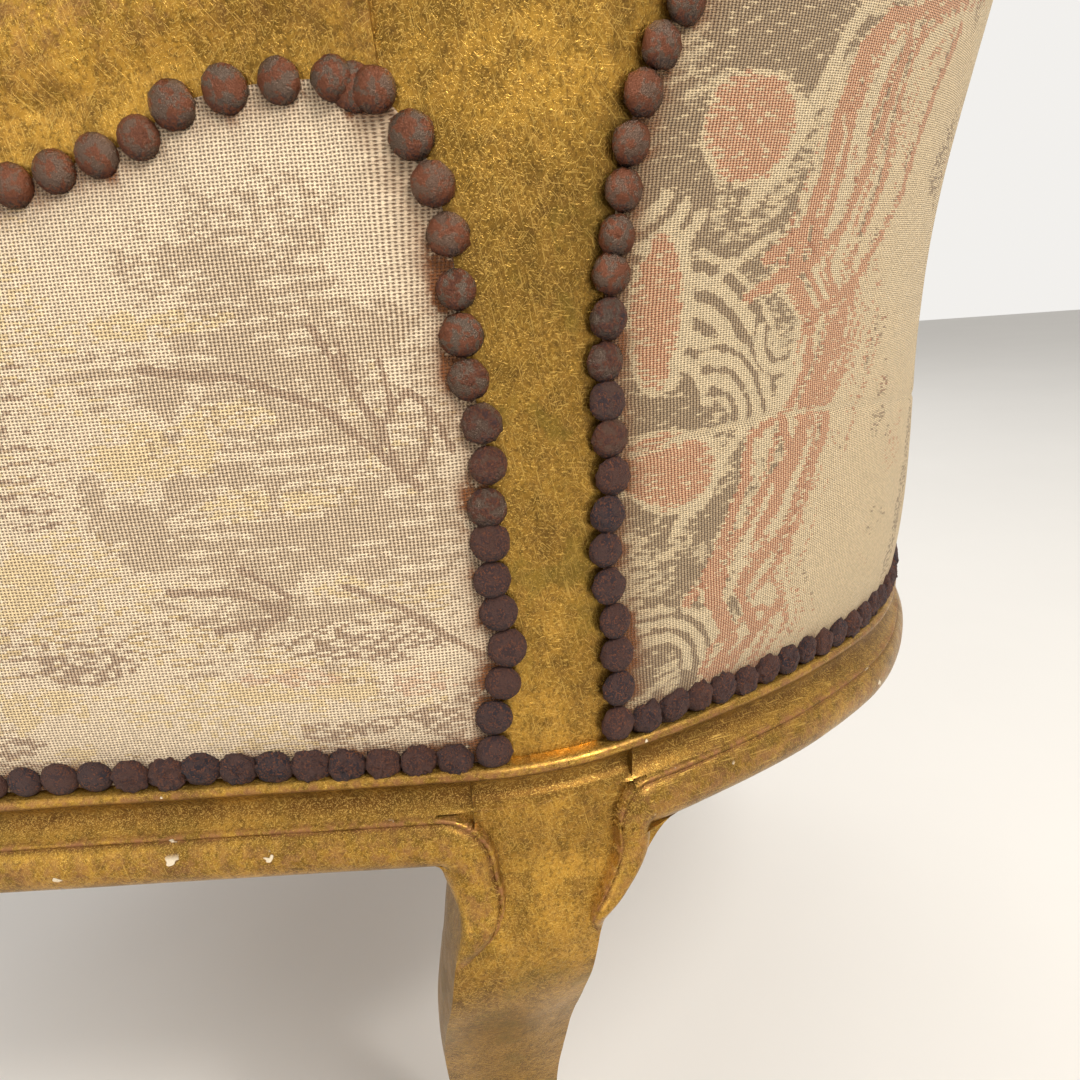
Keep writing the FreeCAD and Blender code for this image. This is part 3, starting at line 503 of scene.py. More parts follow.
# %% The weave group
def weave_group():
    """Plain weave: warp and weft are raised half-waves, and a checker of half periods puts one over the other."""
    group = bpy.data.node_groups.new("Weave", "ShaderNodeTree")
    for name, kind in (("Vector", "NodeSocketVector"), ("Across", "NodeSocketFloat"), ("Along", "NodeSocketFloat"),
                       ("Waviness", "NodeSocketFloat")):
        group.interface.new_socket(name=name, in_out="INPUT", socket_type=kind)
    for name in ("Height", "Gaps", "Uneven", "Dots", "Stitch", "Columns"):
        group.interface.new_socket(name=name, in_out="OUTPUT", socket_type="NodeSocketFloat")
    start = node(group, "NodeGroupInput")
    end = node(group, "NodeGroupOutput")
    split = node(group, "ShaderNodeSeparateXYZ")
    wander = node(group, "ShaderNodeTexNoise")
    wander.inputs["Scale"].default_value = 45.0
    wander.inputs["Detail"].default_value = 3.0
    link(group, start.outputs["Vector"], wander.inputs["Vector"])
    link(group, start.outputs["Vector"], split.inputs["Vector"])
    moved = node(group, "ShaderNodeSeparateColor")
    link(group, wander.outputs["Color"], moved.inputs["Color"])
    places_now = []
    for axis, count in ((0, "Across"), (1, "Along")):
        aside = maths(group, "SUBTRACT", moved.outputs[axis], 0.5)
        wavy = scaled(group, aside, start.outputs["Waviness"], split.outputs[axis])
        places_now.append(times(group, wavy, start.outputs[count]))
    a, b = places_now
    warp, weft = (maths(group, "ABSOLUTE", maths(group, "SINE", times(group, along, math.pi)))
                  for along in (a, b))
    both = maths(group, "ADD", maths(group, "FLOOR", a), maths(group, "FLOOR", b))
    over = times(group, maths(group, "FRACT", times(group, both, 0.5)), 2.0)
    warp_top = times(group, warp, scaled(group, over, 0.45, 0.55))
    weft_top = times(group, weft, scaled(group, over, -0.45, 1.0))
    height = maths(group, "MAXIMUM", warp_top, weft_top)
    link(group, height, end.inputs["Height"])
    link(group, ramp(group, height, 0.35, 0.75, (1.0, 0.0)), end.inputs["Gaps"])
    between = maths(group, "ADD", times(group, warp, warp), times(group, weft, weft))
    link(group, ramp(group, between, 0.25, 0.85, (1.0, 0.0)), end.inputs["Dots"])
    for output, x, y in (
            ("Uneven", maths(group, "FLOOR", a), times(group, maths(group, "FLOOR", b), 0.17)),
            ("Stitch", maths(group, "FLOOR", times(group, a, 0.5)), maths(group, "FLOOR", b))):
        cell = node(group, "ShaderNodeCombineXYZ")
        link(group, x, cell.inputs[0])
        link(group, y, cell.inputs[1])
        drawn = node(group, "ShaderNodeTexWhiteNoise", noise_dimensions="2D")
        link(group, cell.outputs[0], drawn.inputs["Vector"])
        link(group, drawn.outputs["Value"], end.inputs[output])
    link(group, ramp(group, warp, 0.3, 0.8), end.inputs["Columns"])
    return group


weave = weave_group()


# %% [markdown]
# A tapestry's picture is made of stitches of one colour each. A picture file could be wrapped round the chair,
# but then threads and picture would be pixels. Here each stitch draws a random number, and a dye shows where
# its painted amount is higher, so the edges break up stitch by stitch.

# %% Cloth of whole stitches
def weave_of(tree, vector, across, along, waviness):
    """Places the weave on a vector in metres; across and along are threads per metre."""
    made = node(tree, "ShaderNodeGroup", node_tree=weave)
    for name, value in (("Across", across), ("Along", along), ("Waviness", waviness)):
        made.inputs[name].default_value = value
    link(tree, vector, made.inputs["Vector"])
    return made


def woven_material(name, ground, dyes, threads_of, shading, relief):
    """A cloth of whole stitches: a dye shows where its painted amount beats the stitch's own random number."""
    made, tree, shader = new_material(name)
    uv = node(tree, "ShaderNodeUVMap", uv_map="Cloth").outputs["UV"]
    threads = weave_of(tree, uv, *threads_of)
    amounts = paint_of(tree, "Dye")
    chance = scaled(tree, threads.outputs["Stitch"], 0.62, 0.16)
    # Painted highlight: on the raised crowns of the threads each dye is thinned by its third number, so that the pale
    # ground shows there.
    crown_highlight = times(tree, maths(tree, "SUBTRACT", 1.0, threads.outputs["Gaps"]), threads.outputs["Columns"])
    colour = ground
    for amount, (dye, strength, through) in zip(amounts, dyes):
        shown = ramp(tree, maths(tree, "SUBTRACT", amount, chance), -0.10, 0.10)
        spare = scaled(tree, crown_highlight, -through, strength)
        colour = mix(tree, times(tree, shown, spare), colour, dye)
    tint = scaled(tree, threads.outputs["Uneven"], 0.22, 0.89)
    grey = node(tree, "ShaderNodeCombineColor")
    for socket in grey.inputs[:3]:
        link(tree, tint, socket)
    colour = mix(tree, 1.0, colour, grey.outputs["Color"], "MULTIPLY")
    dots, gaps, under = shading
    rusty, dirty = paint_of(tree, "WearAndShade")[:2]
    # The first two layers are painted shade: the gaps and the dots between the threads, darkened to the shading's
    # colour. Rust and dirt follow.
    colour = glazed(tree, colour, (
        (times(tree, threads.outputs["Gaps"], gaps), under),
        (times(tree, threads.outputs["Dots"], dots), under),
        (times(tree, rusty, ramp(tree, noise(tree, uv, 160, 4, 0.7), 0.3, 0.55)), rgb(122, 66, 26)),
        (times(tree, dirty, 0.6), rgb(112, 88, 58))))
    link(tree, colour, shader.inputs["Base Color"])
    for socket, value in (("Roughness", 0.85), ("Specular IOR Level", 0.25), ("Sheen Weight", 0.15),
                          ("Sheen Roughness", 0.5)):
        shader.inputs[socket].default_value = value
    height = scaled(tree, noise(tree, uv, 2600, 2, 0.6), 0.3, threads.outputs["Height"])
    height = scaled(tree, threads.outputs["Dots"], -0.8, height)
    bump(tree, shader, height, relief, 0.9)
    return made


# Each dye is a colour, a strength and its share of painted highlight on the threads' crowns. The next tuple gives
# threads per metre across and along and their waviness; the one after is the painted shade in the dots, in the gaps,
# and its colour; the last number is the bump's distance.
side_cloth = woven_material(
    "side_canvas", rgb(232, 210, 178),
    ((rgb(128, 90, 64), 0.84, 0.42), (rgb(224, 196, 142), 0.75, 0.2), (rgb(156, 128, 98), 0.78, 0.52),
     (rgb(204, 158, 126), 0.7, 0.3)), (900, 1060, 0.0009), (0.80, 0.10, rgb(112, 80, 52)), 0.0006)
back_cloth = woven_material(
    "back_tapestry", rgb(216, 192, 152),
    ((rgb(112, 86, 62), 0.95, 0.40), (rgb(222, 196, 148), 0.9, 0.2), (rgb(216, 194, 156), 0.9, 0.2),
     (rgb(184, 106, 70), 0.95, 0.55)), (900, 1500, 0.0009), (0.45, 0.34, rgb(92, 68, 44)), 0.0006)
seat_cloth = woven_material(
    "seat_tapestry", rgb(222, 204, 168),
    ((rgb(128, 96, 70), 0.85, 0.4), (rgb(212, 188, 132), 0.8, 0.2), (rgb(140, 134, 98), 0.8, 0.4),
     (rgb(192, 122, 92), 0.85, 0.4)), (760, 980, 0.0010), (0.55, 0.25, rgb(92, 70, 46)), 0.0007)
print("three cloths woven")

# %% [markdown]
# The old tapestries are drawn stitch by stitch. Each cloth has a function that gives, at every place, how
# much of four dyes lies there, from soft noises, strokes along lines and sets of curved ribs; the material
# then turns each amount into whole stitches. The designs are a plain verdure and scrolls of the usual kind.

# %% Drawing with dyes
def lay(amounts, dye, mask):
    """Puts one dye down where the mask is 1 and takes the others away there."""
    mask = np.clip(mask, 0, 1)
    amounts = amounts * (1 - mask)[..., None]
    amounts[..., dye] += mask
    return amounts


def stroke(x, y, points, width, ragged=0.0, seed=3):
    """Mask along a broken line: 1 on it, falling to 0 at the width, with a ragged border."""
    best = np.full(x.shape, 1e9)
    for (x0, y0), (x1, y1) in zip(points, points[1:]):
        dx, dy = x1 - x0, y1 - y0
        t = np.clip(((x - x0) * dx + (y - y0) * dy) / (dx * dx + dy * dy + 1e-9), 0, 1)
        best = np.minimum(best, np.hypot(x - x0 - t * dx, y - y0 - t * dy))
    if ragged:
        best = best + (layered_noise(x, y, width * 1.6, seed) - 0.5) * ragged
    return 1 - step_up(best, width * 0.55, width)


def blot(x, y, cx, cy, rx, ry, ragged=0.5, seed=5, grain=7.0):
    """Mask of a ragged oval."""
    d = np.hypot((x - cx) / rx, (y - cy) / ry)
    d = d + (layered_noise(x, y, grain, seed) - 0.5) * ragged * 2
    return 1 - step_up(d, 0.8, 1.05)


# %% [markdown]
# A verdure is a tapestry of leaves and trees. Twigs are lines of points with a width, leaves are ragged ovals,
# and the ground below is noise cut into bands. All lengths are in millimetres on the panel.

# %% The side panel's verdure
BROWN, YELLOW, GREY, SALMON = range(4)
TWIGS = [([(446, 428), (420, 424), (398, 414), (386, 402), (374, 390)], 1.7),
         ([(398, 436), (389, 418), (382, 405), (379, 393)], 1.5), ([(384, 403), (379, 414), (381, 425)], 1.3),
         ([(388, 420), (392, 431)], 1.0), ([(379, 413), (374, 417), (368, 409), (364, 399)], 1.3),
         ([(378, 392), (372, 398), (369, 409)], 1.3), ([(452, 364), (430, 362), (418, 354), (440, 350)], 1.4),
         ([(400, 362), (384, 354), (372, 344), (362, 336)], 1.3), ([(430, 370), (416, 360), (428, 348)], 1.3)]
LEAVES = [(412, 452, 12, 3), (396, 448, 4, 9), (404, 441, 24, 5), (444, 424, 26, 7), (416, 430, 26, 7),
          (396, 414, 20, 9), (420, 400, 20, 9), (392, 392, 22, 10), (412, 378, 22, 7), (380, 372, 16, 9),
          (440, 378, 18, 6), (424, 354, 26, 6), (388, 352, 20, 7), (371, 404, 5, 14)]
LIGHTS = [(448, 404, 22, 8), (424, 414, 12, 5), (404, 388, 12, 5), (384, 400, 7, 5), (430, 388, 14, 6),
          (400, 362, 14, 4), (376, 356, 9, 6), (448, 346, 26, 7), (420, 330, 30, 9), (440, 440, 24, 4)]


def side_dye(run, z):
    """The side panel's verdure: plain ivory above, a leaning bush with bare twigs, greener ground below."""
    x, y = run, z
    amounts = np.zeros(x.shape + (4,))
    rows = 0.55 + 0.45 * np.sin(y * 2 * np.pi / 4.6 + 3 * layered_noise(x, y, 16, 8))
    amounts = lay(amounts, GREY, 0.45 * blot(x, y, 410, 463, 28, 11, 0.8, 21))
    amounts = lay(amounts, GREY, 0.5 * blot(x, y, 430, 452, 18, 9, 0.8, 22))
    haze = step_up(layered_noise(x, y * 1.6, 26, 11), 0.42, 0.66) * step_up(462 - y, 0, 40)
    amounts = lay(amounts, YELLOW, 0.42 * haze)
    bush = blot(x, y, 415, 396, 52, 58, 0.5, 25, 18) * step_up(layered_noise(x, y * 2.2, 13, 26), 0.40, 0.56)
    amounts = lay(amounts, GREY, 0.75 * bush)
    for k, (cx, cy, rx, ry) in enumerate(LEAVES):
        amounts = lay(amounts, GREY, 0.80 * rows * blot(x, y, cx, cy, rx * 1.25, ry * 1.35, 1.0, 30 + k, 9.0))
    for k, (cx, cy, rx, ry) in enumerate(LIGHTS):
        amounts = lay(amounts, YELLOW, 0.6 * blot(x, y, cx, cy, rx * 0.8, ry * 0.8, 1.0, 90 + k))
    low = step_up(372 - y, 0, 40)
    olive = step_up(layered_noise(x, y * 2.6, 34, 71), 0.5, 0.58)
    amounts = lay(amounts, GREY, 0.62 * low * olive * rows)
    bands = step_up(layered_noise(x, y * 3.2, 44, 75), 0.52, 0.6)
    amounts = lay(amounts, BROWN, 0.55 * low * bands)
    for k, (line, width) in enumerate(TWIGS):
        amounts = lay(amounts, BROWN, 1.0 * stroke(x, y, line, width * 1.05, 0.7, k))
    amounts = lay(amounts, SALMON, 0.55 * blot(x, y, 420, 334, 15, 4, 0.9, 81))
    amounts = lay(amounts, SALMON, 0.5 * blot(x, y, 378, 328, 10, 5, 0.9, 82))
    far = step_up(x, 458, 490)
    trees = step_up(layered_noise(x, y * 1.5, 40, 101), 0.5, 0.57) * far * step_up(470 - y, 0, 40)
    amounts = lay(amounts, BROWN, 0.62 * trees * rows)
    glints = step_up(layered_noise(x, y, 26, 105), 0.56, 0.62) * far
    return lay(amounts, YELLOW, 0.6 * glints * (1 - 0.7 * trees))


# %% [markdown]
# The outside back was cut from another tapestry, a large scrolling pattern that repeats up the cloth. Beside
# the posts it is brown with cream leaves of curved ribs, further in salmon ribbons cross it, and the middle is
# plain. The ribbons and flowers are strokes along points, so that they keep their place among the nails.

# %% The back's pattern
CREAM = GREY
RIBBONS = [([(184, 524), (204, 516), (231, 512), (241, 502), (246, 483), (246, 468), (252, 452), (266, 444)], 2.6),
           ([(218, 506), (221, 488), (226, 470), (232, 453), (248, 441), (263, 437), (272, 434)], 2.4),
           ([(184, 514), (191, 496), (196, 478), (199, 462), (210, 448), (224, 433), (242, 426)], 2.2),
           ([(210, 516), (214, 498), (215, 482), (214, 466), (220, 452)], 1.6),
           ([(222, 430), (232, 422), (234, 412), (242, 404), (246, 394)], 2.6),
           ([(254, 396), (269, 390), (270, 378), (275, 366), (287, 346), (294, 340)], 2.2),
           ([(254, 392), (250, 382), (261, 373), (271, 360), (280, 354), (286, 347)], 2.4),
           ([(232, 392), (234, 382), (244, 371), (250, 358), (260, 350), (272, 338)], 2.4),
           ([(238, 374), (246, 358), (254, 346), (266, 336)], 1.8),
           ([(253, 328), (264, 320), (272, 314), (282, 308)], 2.6),
           ([(261, 330), (273, 326), (283, 321), (287, 312)], 1.4)]
PALE_LINES = [([(242, 514), (249, 506), (254, 494), (259, 482), (266, 468), (276, 460)], 2.6),
              ([(270, 394), (280, 384), (286, 373), (297, 366)], 1.8), ([(252, 498), (240, 478), (244, 456)], 1.0),
              ([(262, 452), (274, 446), (284, 440)], 1.2), ([(240, 384), (256, 362), (272, 346)], 1.0)]
PETALS = [(279, 480, 17, 15), (303, 432, 9, 24), (298, 384, 16, 13)]
FLOW_AT = [302, 320, 340, 360, 380, 395, 410, 425, 440, 455, 470, 485, 500, 510, 518, 528]
FLOW_X = [288, 274, 284, 276, 262, 256, 246, 242, 256, 252, 247, 246, 242, 232, 210, 180]
REPEAT = 226.0


def arcs(x, y, cx, cy, r0, r1, a0, a1, pitch, seed):
    """A leaf of curved ribs: mask of a ring sector, and its ribs as waves of the distance from its centre."""
    r = np.hypot(x - cx, y - cy) + (layered_noise(x, y, 22, seed) - 0.5) * 4
    angle = (np.degrees(np.arctan2(y - cy, x - cx)) - a0) % 360
    span = (a1 - a0) % 360
    inside = step_up(r, r0, r0 + 2) * (1 - step_up(r, r1 - 3, r1)) * step_up(angle, 0, 9)
    inside = inside * (1 - step_up(angle, span - 12, span)) * (angle < span)
    return inside, 0.5 + 0.5 * np.cos(2 * np.pi * r / pitch)


# %% The outside back's dyes
def back_dye(s, z):
    """The outside back: brown ribs and cream leaves near the posts, salmon ribbons, then a plain field."""
    x = np.abs(s)
    y = NAIL_LINE + (z - NAIL_LINE) % REPEAT
    amounts = np.zeros(s.shape + (4,))
    border = np.interp(y, [302, 330, 352, 372, 392, 405, 425, 445, 470, 500, 528],
                       [276, 268, 262, 250, 240, 246, 244, 240, 232, 226, 214])
    fine = (layered_noise(x, y, 12, 7) - 0.5) * 7
    ground = step_up(x + fine, border - 2, border + 6)
    twill = 0.5 + 0.5 * np.sin(2 * np.pi * (x * 0.5 + y * 1.1) / 5.2 + 5 * layered_noise(x, y, 30, 17))
    amounts = lay(amounts, BROWN, ground * (0.62 + 0.3 * twill))
    pale = step_up(layered_noise(x * 1.5 + y * 0.8, y - x * 0.4, 15, 19), 0.52, 0.62) * ground
    amounts = lay(amounts, CREAM, 0.45 * pale * (1 - 0.5 * twill))
    for k, (cx, cy, r0, r1, a0, a1, pitch) in enumerate([
            (300, 404, 10, 46, 96, 190, 7.5), (284, 398, 6, 26, 70, 200, 6.0), (304, 318, 6, 24, 30, 200, 5.5),
            (256, 420, 4, 15, 240, 40, 5.0), (316, 470, 8, 34, 200, 262, 7.0)]):
        inside, wave = arcs(x, y, cx, cy, r0, r1, a0, a1, pitch, 200 + k)
        amounts = lay(amounts, CREAM, 0.9 * inside * step_up(wave, 0.35, 0.6))
        amounts = lay(amounts, BROWN, 0.8 * inside * step_up(0.3 - wave, -0.1, 0.1))
    flow = x - np.interp(y, FLOW_AT, FLOW_X) + (layered_noise(x, y, 30, 29) - 0.5) * 5
    band = step_up(flow, -52, -40) * (1 - step_up(flow, 3, 8))
    for dye, share, seed in ((CREAM, 0.8, 31), (BROWN, 0.55, 33), (SALMON, 0.72, 37), (CREAM, 0.85, 39),
                             (SALMON, 0.8, 41)):
        streak = step_up(layered_noise(flow * 2.4, y * 0.20 + 3 * seed, 7, seed), 0.52, 0.58)
        amounts = lay(amounts, dye, share * band * streak * (0.55 + 0.45 * step_up(flow, -40, -8)))
    for k, (line, width) in enumerate(PALE_LINES):
        amounts = lay(amounts, CREAM, 0.85 * stroke(x, y, line, width, 0.8, 300 + k))
    for k, (line, width) in enumerate(RIBBONS):
        amounts = lay(amounts, BROWN, 0.5 * stroke(x - 2.2, y + 1.2, line, width + 0.4, 1.2, 340 + k))
        amounts = lay(amounts, SALMON, 0.88 * stroke(x, y, line, width, 2.2, 320 + k))
    for k, (cx, cy, rx, ry) in enumerate(PETALS):
        amounts = lay(amounts, CREAM, 0.75 * blot(x, y, cx - 2, cy - 1, rx + 1.2, ry + 0.8, 0.2, 55 + k, 14))
        petal = blot(x, y, cx, cy, rx, ry, 0.22, 50 + k, 14)
        stripes = 0.5 + 0.5 * np.cos(2 * np.pi * (x + 0.2 * y) / 2.6)
        amounts = lay(amounts, CREAM, petal)
        amounts = lay(amounts, SALMON, petal * (0.62 + 0.12 * stripes))
        veins = stroke(x, y, [(cx + rx * 0.5, cy + ry * 0.5), (cx, cy), (cx - rx * 0.3, cy - ry * 0.7)], 1.1)
        veins = np.maximum(veins, stroke(x, y, [(cx, cy), (cx - rx * 0.6, cy + ry * 0.05)], 1.1))
        amounts = lay(amounts, SALMON, veins * petal)
    field = 1 - step_up(x, 196, 214)
    smoke = step_up(layered_noise(x * 1.2 + y * 0.5, y * 0.55, 20, 61), 0.5, 0.62) * field
    amounts = lay(amounts, BROWN, 0.42 * smoke)
    pink = step_up(layered_noise(x, y * 0.6, 20, 66), 0.6, 0.68) * field
    amounts = lay(amounts, SALMON, 0.22 * pink)
    gold = step_up(layered_noise(x, y * 0.7, 26, 68), 0.56, 0.64) * field
    return lay(amounts, CREAM, 0.5 * gold)


# %% [markdown]
# Seat, deck and pads carry a third pattern, a ring of flowers among vines, made from the same few strokes.

# %% The inside cloth's dyes
def seat_dye(x, y):
    """Inside cloth: the same ground with a loose spray of leaves and a few worn flowers about its middle."""
    amounts = np.zeros(x.shape + (4,))
    ring = np.hypot(x, y)
    amounts = lay(amounts, YELLOW, 0.35 * step_up(layered_noise(x, y, 46, 301), 0.45, 0.6))
    vines = np.abs(layered_noise(x, y, 90, 303) - 0.5)
    amounts = lay(amounts, BROWN, 0.85 * (1 - step_up(vines, 0.010, 0.018)))
    leaves = step_up(layered_noise(x, y, 24, 305), 0.57, 0.62) * (1 - step_up(vines, 0.05, 0.09))
    amounts = lay(amounts, GREY, 0.8 * leaves)
    shadows = step_up(layered_noise(x, y, 32, 307), 0.6, 0.66)
    amounts = lay(amounts, BROWN, 0.5 * shadows)
    for k in range(7):
        turn = 2 * np.pi * k / 7
        cx, cy = 95 * np.cos(turn), 95 * np.sin(turn)
        amounts = lay(amounts, SALMON, 0.85 * blot(x, y, cx, cy, 17, 15, 0.45, 310 + k, 10))
        amounts = lay(amounts, YELLOW, 0.9 * blot(x, y, cx, cy, 6, 5, 0.4, 330 + k, 6))
    for radius, band in ((150, 4), (46, 3)):
        amounts = lay(amounts, GREY, 0.7 * (1 - step_up(np.abs(ring - radius), band, band + 2)))
    return amounts


# %% [markdown]
# The frame's moulding could be a bevelled curve, but then the runs and their ends would have to be trimmed by
# hand. It is one formula of the height instead: a broad bead at the bottom, a thin raised line, a hollow, a narrow
# bead under the nails, and a flat where the cloth is nailed. It is carried along the plan line for every
# rail, so the runs meet each other exactly at the joints.

# %% The moulding
BEAD_TOP, LINE_TOP, COVE_TOP, UPPER_TOP = 16.4, 18.5, 29.8, 34.3


def moulding(h):
    """Offset outward at a height above the rail's underside: half-ellipses joined by a sine hollow."""
    bead = 3 + 6.2 * np.sqrt(np.clip(1 - ((h - 8.6) / 9.0) ** 2, 0, 1))
    line = 4.9 + 1.6 * np.sqrt(np.clip(1 - ((h - 17.4) / 1.1) ** 2, 0, 1))
    share = np.clip((h - LINE_TOP) / (COVE_TOP - LINE_TOP), 0, 1)
    cove = 4.9 - 1.9 * share - 2.8 * np.sin(np.pi * share)
    upper = 2.4 + 2.8 * np.sqrt(np.clip(1 - ((h - 32) / 2.35) ** 2, 0, 1))
    return np.select([h < BEAD_TOP, h < LINE_TOP, h < COVE_TOP, h < UPPER_TOP], [bead, line, cove, upper], 0.0)


def moulding_wear(h):
    """Ridges, hollows and dullness at a height on the moulding: ridges rub through, hollows hold the brown toning."""
    ridge = np.maximum(np.exp(-((h - 9) / 6.0) ** 2) * 0.55, np.exp(-((h - 17.4) / 1.2) ** 2))
    ridge = np.maximum(ridge, np.exp(-((h - 32) / 1.6) ** 2) * 0.8)
    hollow = np.exp(-((h - 23.5) / 4.2) ** 2) + np.exp(-((h - 16.2) / 0.7) ** 2) + np.exp(-((h - 29.9) / 0.7) ** 2)
    return np.stack([ridge, np.clip(hollow, 0, 1) * 0.9, np.full_like(ridge, 0.35)], axis=-1)


# %% [markdown]
# At every block the rail's bead turns down and dies away as an ear on the leg's edge. Rail and block share one
# formula for it: both ask how far a point is from the block's edge and how high above the rail's underside.

# %% The bead's turn
# How far each turned bead reaches beyond its block, how wide it is, and the radius under the rail: on the side
# towards the front and on the side towards the back, of a rear post; a front leg is the same on both sides.
EAR_DROP = 36.0
REAR_EARS = {"reach": (12.0, 5.0), "wide": (16.0, 11.0), "radius": (3.0, 14.0)}
FRONT_EARS = {"reach": (7.0, 7.0), "wide": (12.0, 12.0), "radius": (6.0, 6.0)}
BEAD_WIDE = 16.5  # the moulding's distance at which the broad bead ends
FACE = 3.0        # how far a block's flat face stands out from the plan line


def corner_face(from_edge, h, wide):
    """Offset and wear of a block's face, from the distance to its edge and the height above the rail's underside.

    Above the underside the moulding's distance is sqrt(h^2 + (B e / W)^2), below it is B e / w, with the bead's
    width B and a width w that shrinks from W to nothing at the ear's point. Past the raised line it is flat."""
    e = np.clip(from_edge, 0, None)
    fall = np.clip(-h / EAR_DROP, 0, 1)
    width = wide * (1 - 0.93 * fall ** 2.2)
    q = np.where(h > 0, np.hypot(np.clip(h, 0, None), BEAD_WIDE * e / wide), BEAD_WIDE * e / width)
    proud = 1 - step_up(fall, 0.55, 1.0)
    turned = FACE + (moulding(np.minimum(q, LINE_TOP - 0.01)) - FACE) * proud
    low_face = np.where((q < LINE_TOP) & (fall < 1), turned, FACE)
    high = moulding(np.clip(h, LINE_TOP, None))
    flush = step_up(q, LINE_TOP, 25) * step_up(e, 0, 8) * (1 - step_up(h, LINE_TOP + 1, 24))
    high = high + (FACE - high) * flush
    out = np.where(h < LINE_TOP, low_face, high)
    worn = moulding_wear(np.where(h < LINE_TOP, np.minimum(q, 21), h))
    ear_zone = ((h < LINE_TOP) & (q < LINE_TOP + 1.2) & (fall < 1)) | (h >= LINE_TOP)
    worn = np.where(ear_zone[..., None], worn, np.array([0.12, 0.12, 0.5]))
    worn[..., 2] = 0.3 + 0.7 * step_up(-h, -20, 60)
    return out, worn


# %% [markdown]
# A rail is the moulding's profile swept along the plan line, with its inner side and the rebate for the seat.

# %% The rails
def gilded(name, node_name, points, wear, sharp):
    """A gilt piece from rings of points: faces out, edges over an angle kept sharp, standing for its solid."""
    made = ring_mesh(name, points, wear)
    merged(made.data, 1e-6, outwards=True)
    made.data.set_sharp_from_angle(angle=math.radians(sharp))
    made.data.materials.append(gilt)
    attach(made, "chair")
    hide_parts(node_name)


def rail(name, start, end, step, starting, ending):
    """Carries the moulding and the rebated inner side of a rail along the plan line, turning down at its ends."""
    near = np.arange(0, 15, 1.0)
    s = np.unique(np.concatenate([np.arange(start + 16, end - 16, step), start + near, end - near]))
    h = np.concatenate([np.arange(0, 35, 0.42), [36, 42, 48.4, 49]])
    turned = [corner_face(np.clip(reach - away, 0, None)[:, None] + 0 * h, h + 0 * away[:, None], wide)
              for away, (reach, wide) in ((s - start, starting), (end - s, ending))]
    at_start = (s < (start + end) / 2)[:, None]
    out = np.where(at_start, turned[0][0], turned[1][0])
    worn = np.where(at_start[..., None], turned[0][1], turned[1][1])
    out[:, -2:] = [0.0, -0.6]
    z = np.concatenate([RAIL_BOTTOM + h, [312, 300, 300, RAIL_BOTTOM, RAIL_BOTTOM]])
    off = np.hstack([out, np.tile([-16.0, -16, -30, -30, -4], (len(s), 1))])
    wear = np.concatenate([worn, np.tile([0.1, 0.2, 1.0], (len(s), 5, 1))], axis=1)
    uneven = (layered_noise(s[:, None] + 0 * z, z[None, :] + 0 * s[:, None], 26, 15) - 0.5) * 0.5
    off = off + uneven * (off > 1)
    points = on_line(s[:, None], off, z[None, :], 0)
    gilded(f"gilt_{name}", name, points, wear, 50)


rear_fore, rear_aft = zip(REAR_EARS["reach"], REAR_EARS["wide"])
front_end = FRONT_EARS["reach"][0], FRONT_EARS["wide"][0]
rail("back_rail", -POST_REAR, POST_REAR, 3, rear_aft, rear_aft)
rail("side_rail_right", POST_FRONT, SIDE_FRONT, 3, rear_fore, front_end)
rail("side_rail_left", -SIDE_FRONT, -POST_FRONT, 3, front_end, rear_fore)
rail("front_rail", BOW_START, 2 * BOW_MIDDLE - BOW_START, 4, front_end, front_end)

# %% [markdown]
# Each corner member is one piece of wood: a block between two rails, the leg below it and, at the back, the
# leaning upright above. It is a stack of closed rings. The rail's broad bead turns down both edges of the
# leg and dies away in a point; the distance that places the moulding is measured round the block's corner,
# so the bead's line bends down in a quarter of an ellipse.

# %% Corner members
FACE_COLUMNS, SIDE_COLUMNS, INNER_COLUMNS = 121, 14, 41  # samples round a ring
EAR_SHARE = 0.2                       # columns past the block's edge, as a share of those on it
LEG_ENDS, BLOCK_BEGINS = 232.0, 262.0   # between these heights a ring changes from the leg's to the block's
UNEVEN_TO = 299.0                     # above it, cloth and nails cover the block's face


def upright_share(rise):
    """Share of the post's front edge that stays upright beside the arm, fading above it."""
    return np.interp(rise, [-4, 12, 30, 50, 75, 105], [1, 0.8, 0.45, 0.18, 0.03, 0])


def between(a, b, count, bulge):
    """Points of every ring between two others, bulging sideways as half a sine wave."""
    t = np.linspace(0, 1, count + 2)[1:-1]
    run = a[:, None, :] * (1 - t[None, :, None]) + b[:, None, :] * t[None, :, None]
    direction = (b - a)[:, None, :]
    normal = np.stack([direction[..., 1], -direction[..., 0]], axis=-1)
    normal = normal / (np.linalg.norm(normal, axis=-1, keepdims=True) + 1e-9)
    return run + normal * (np.sin(np.pi * t)[None, :, None] * bulge[:, None, None])


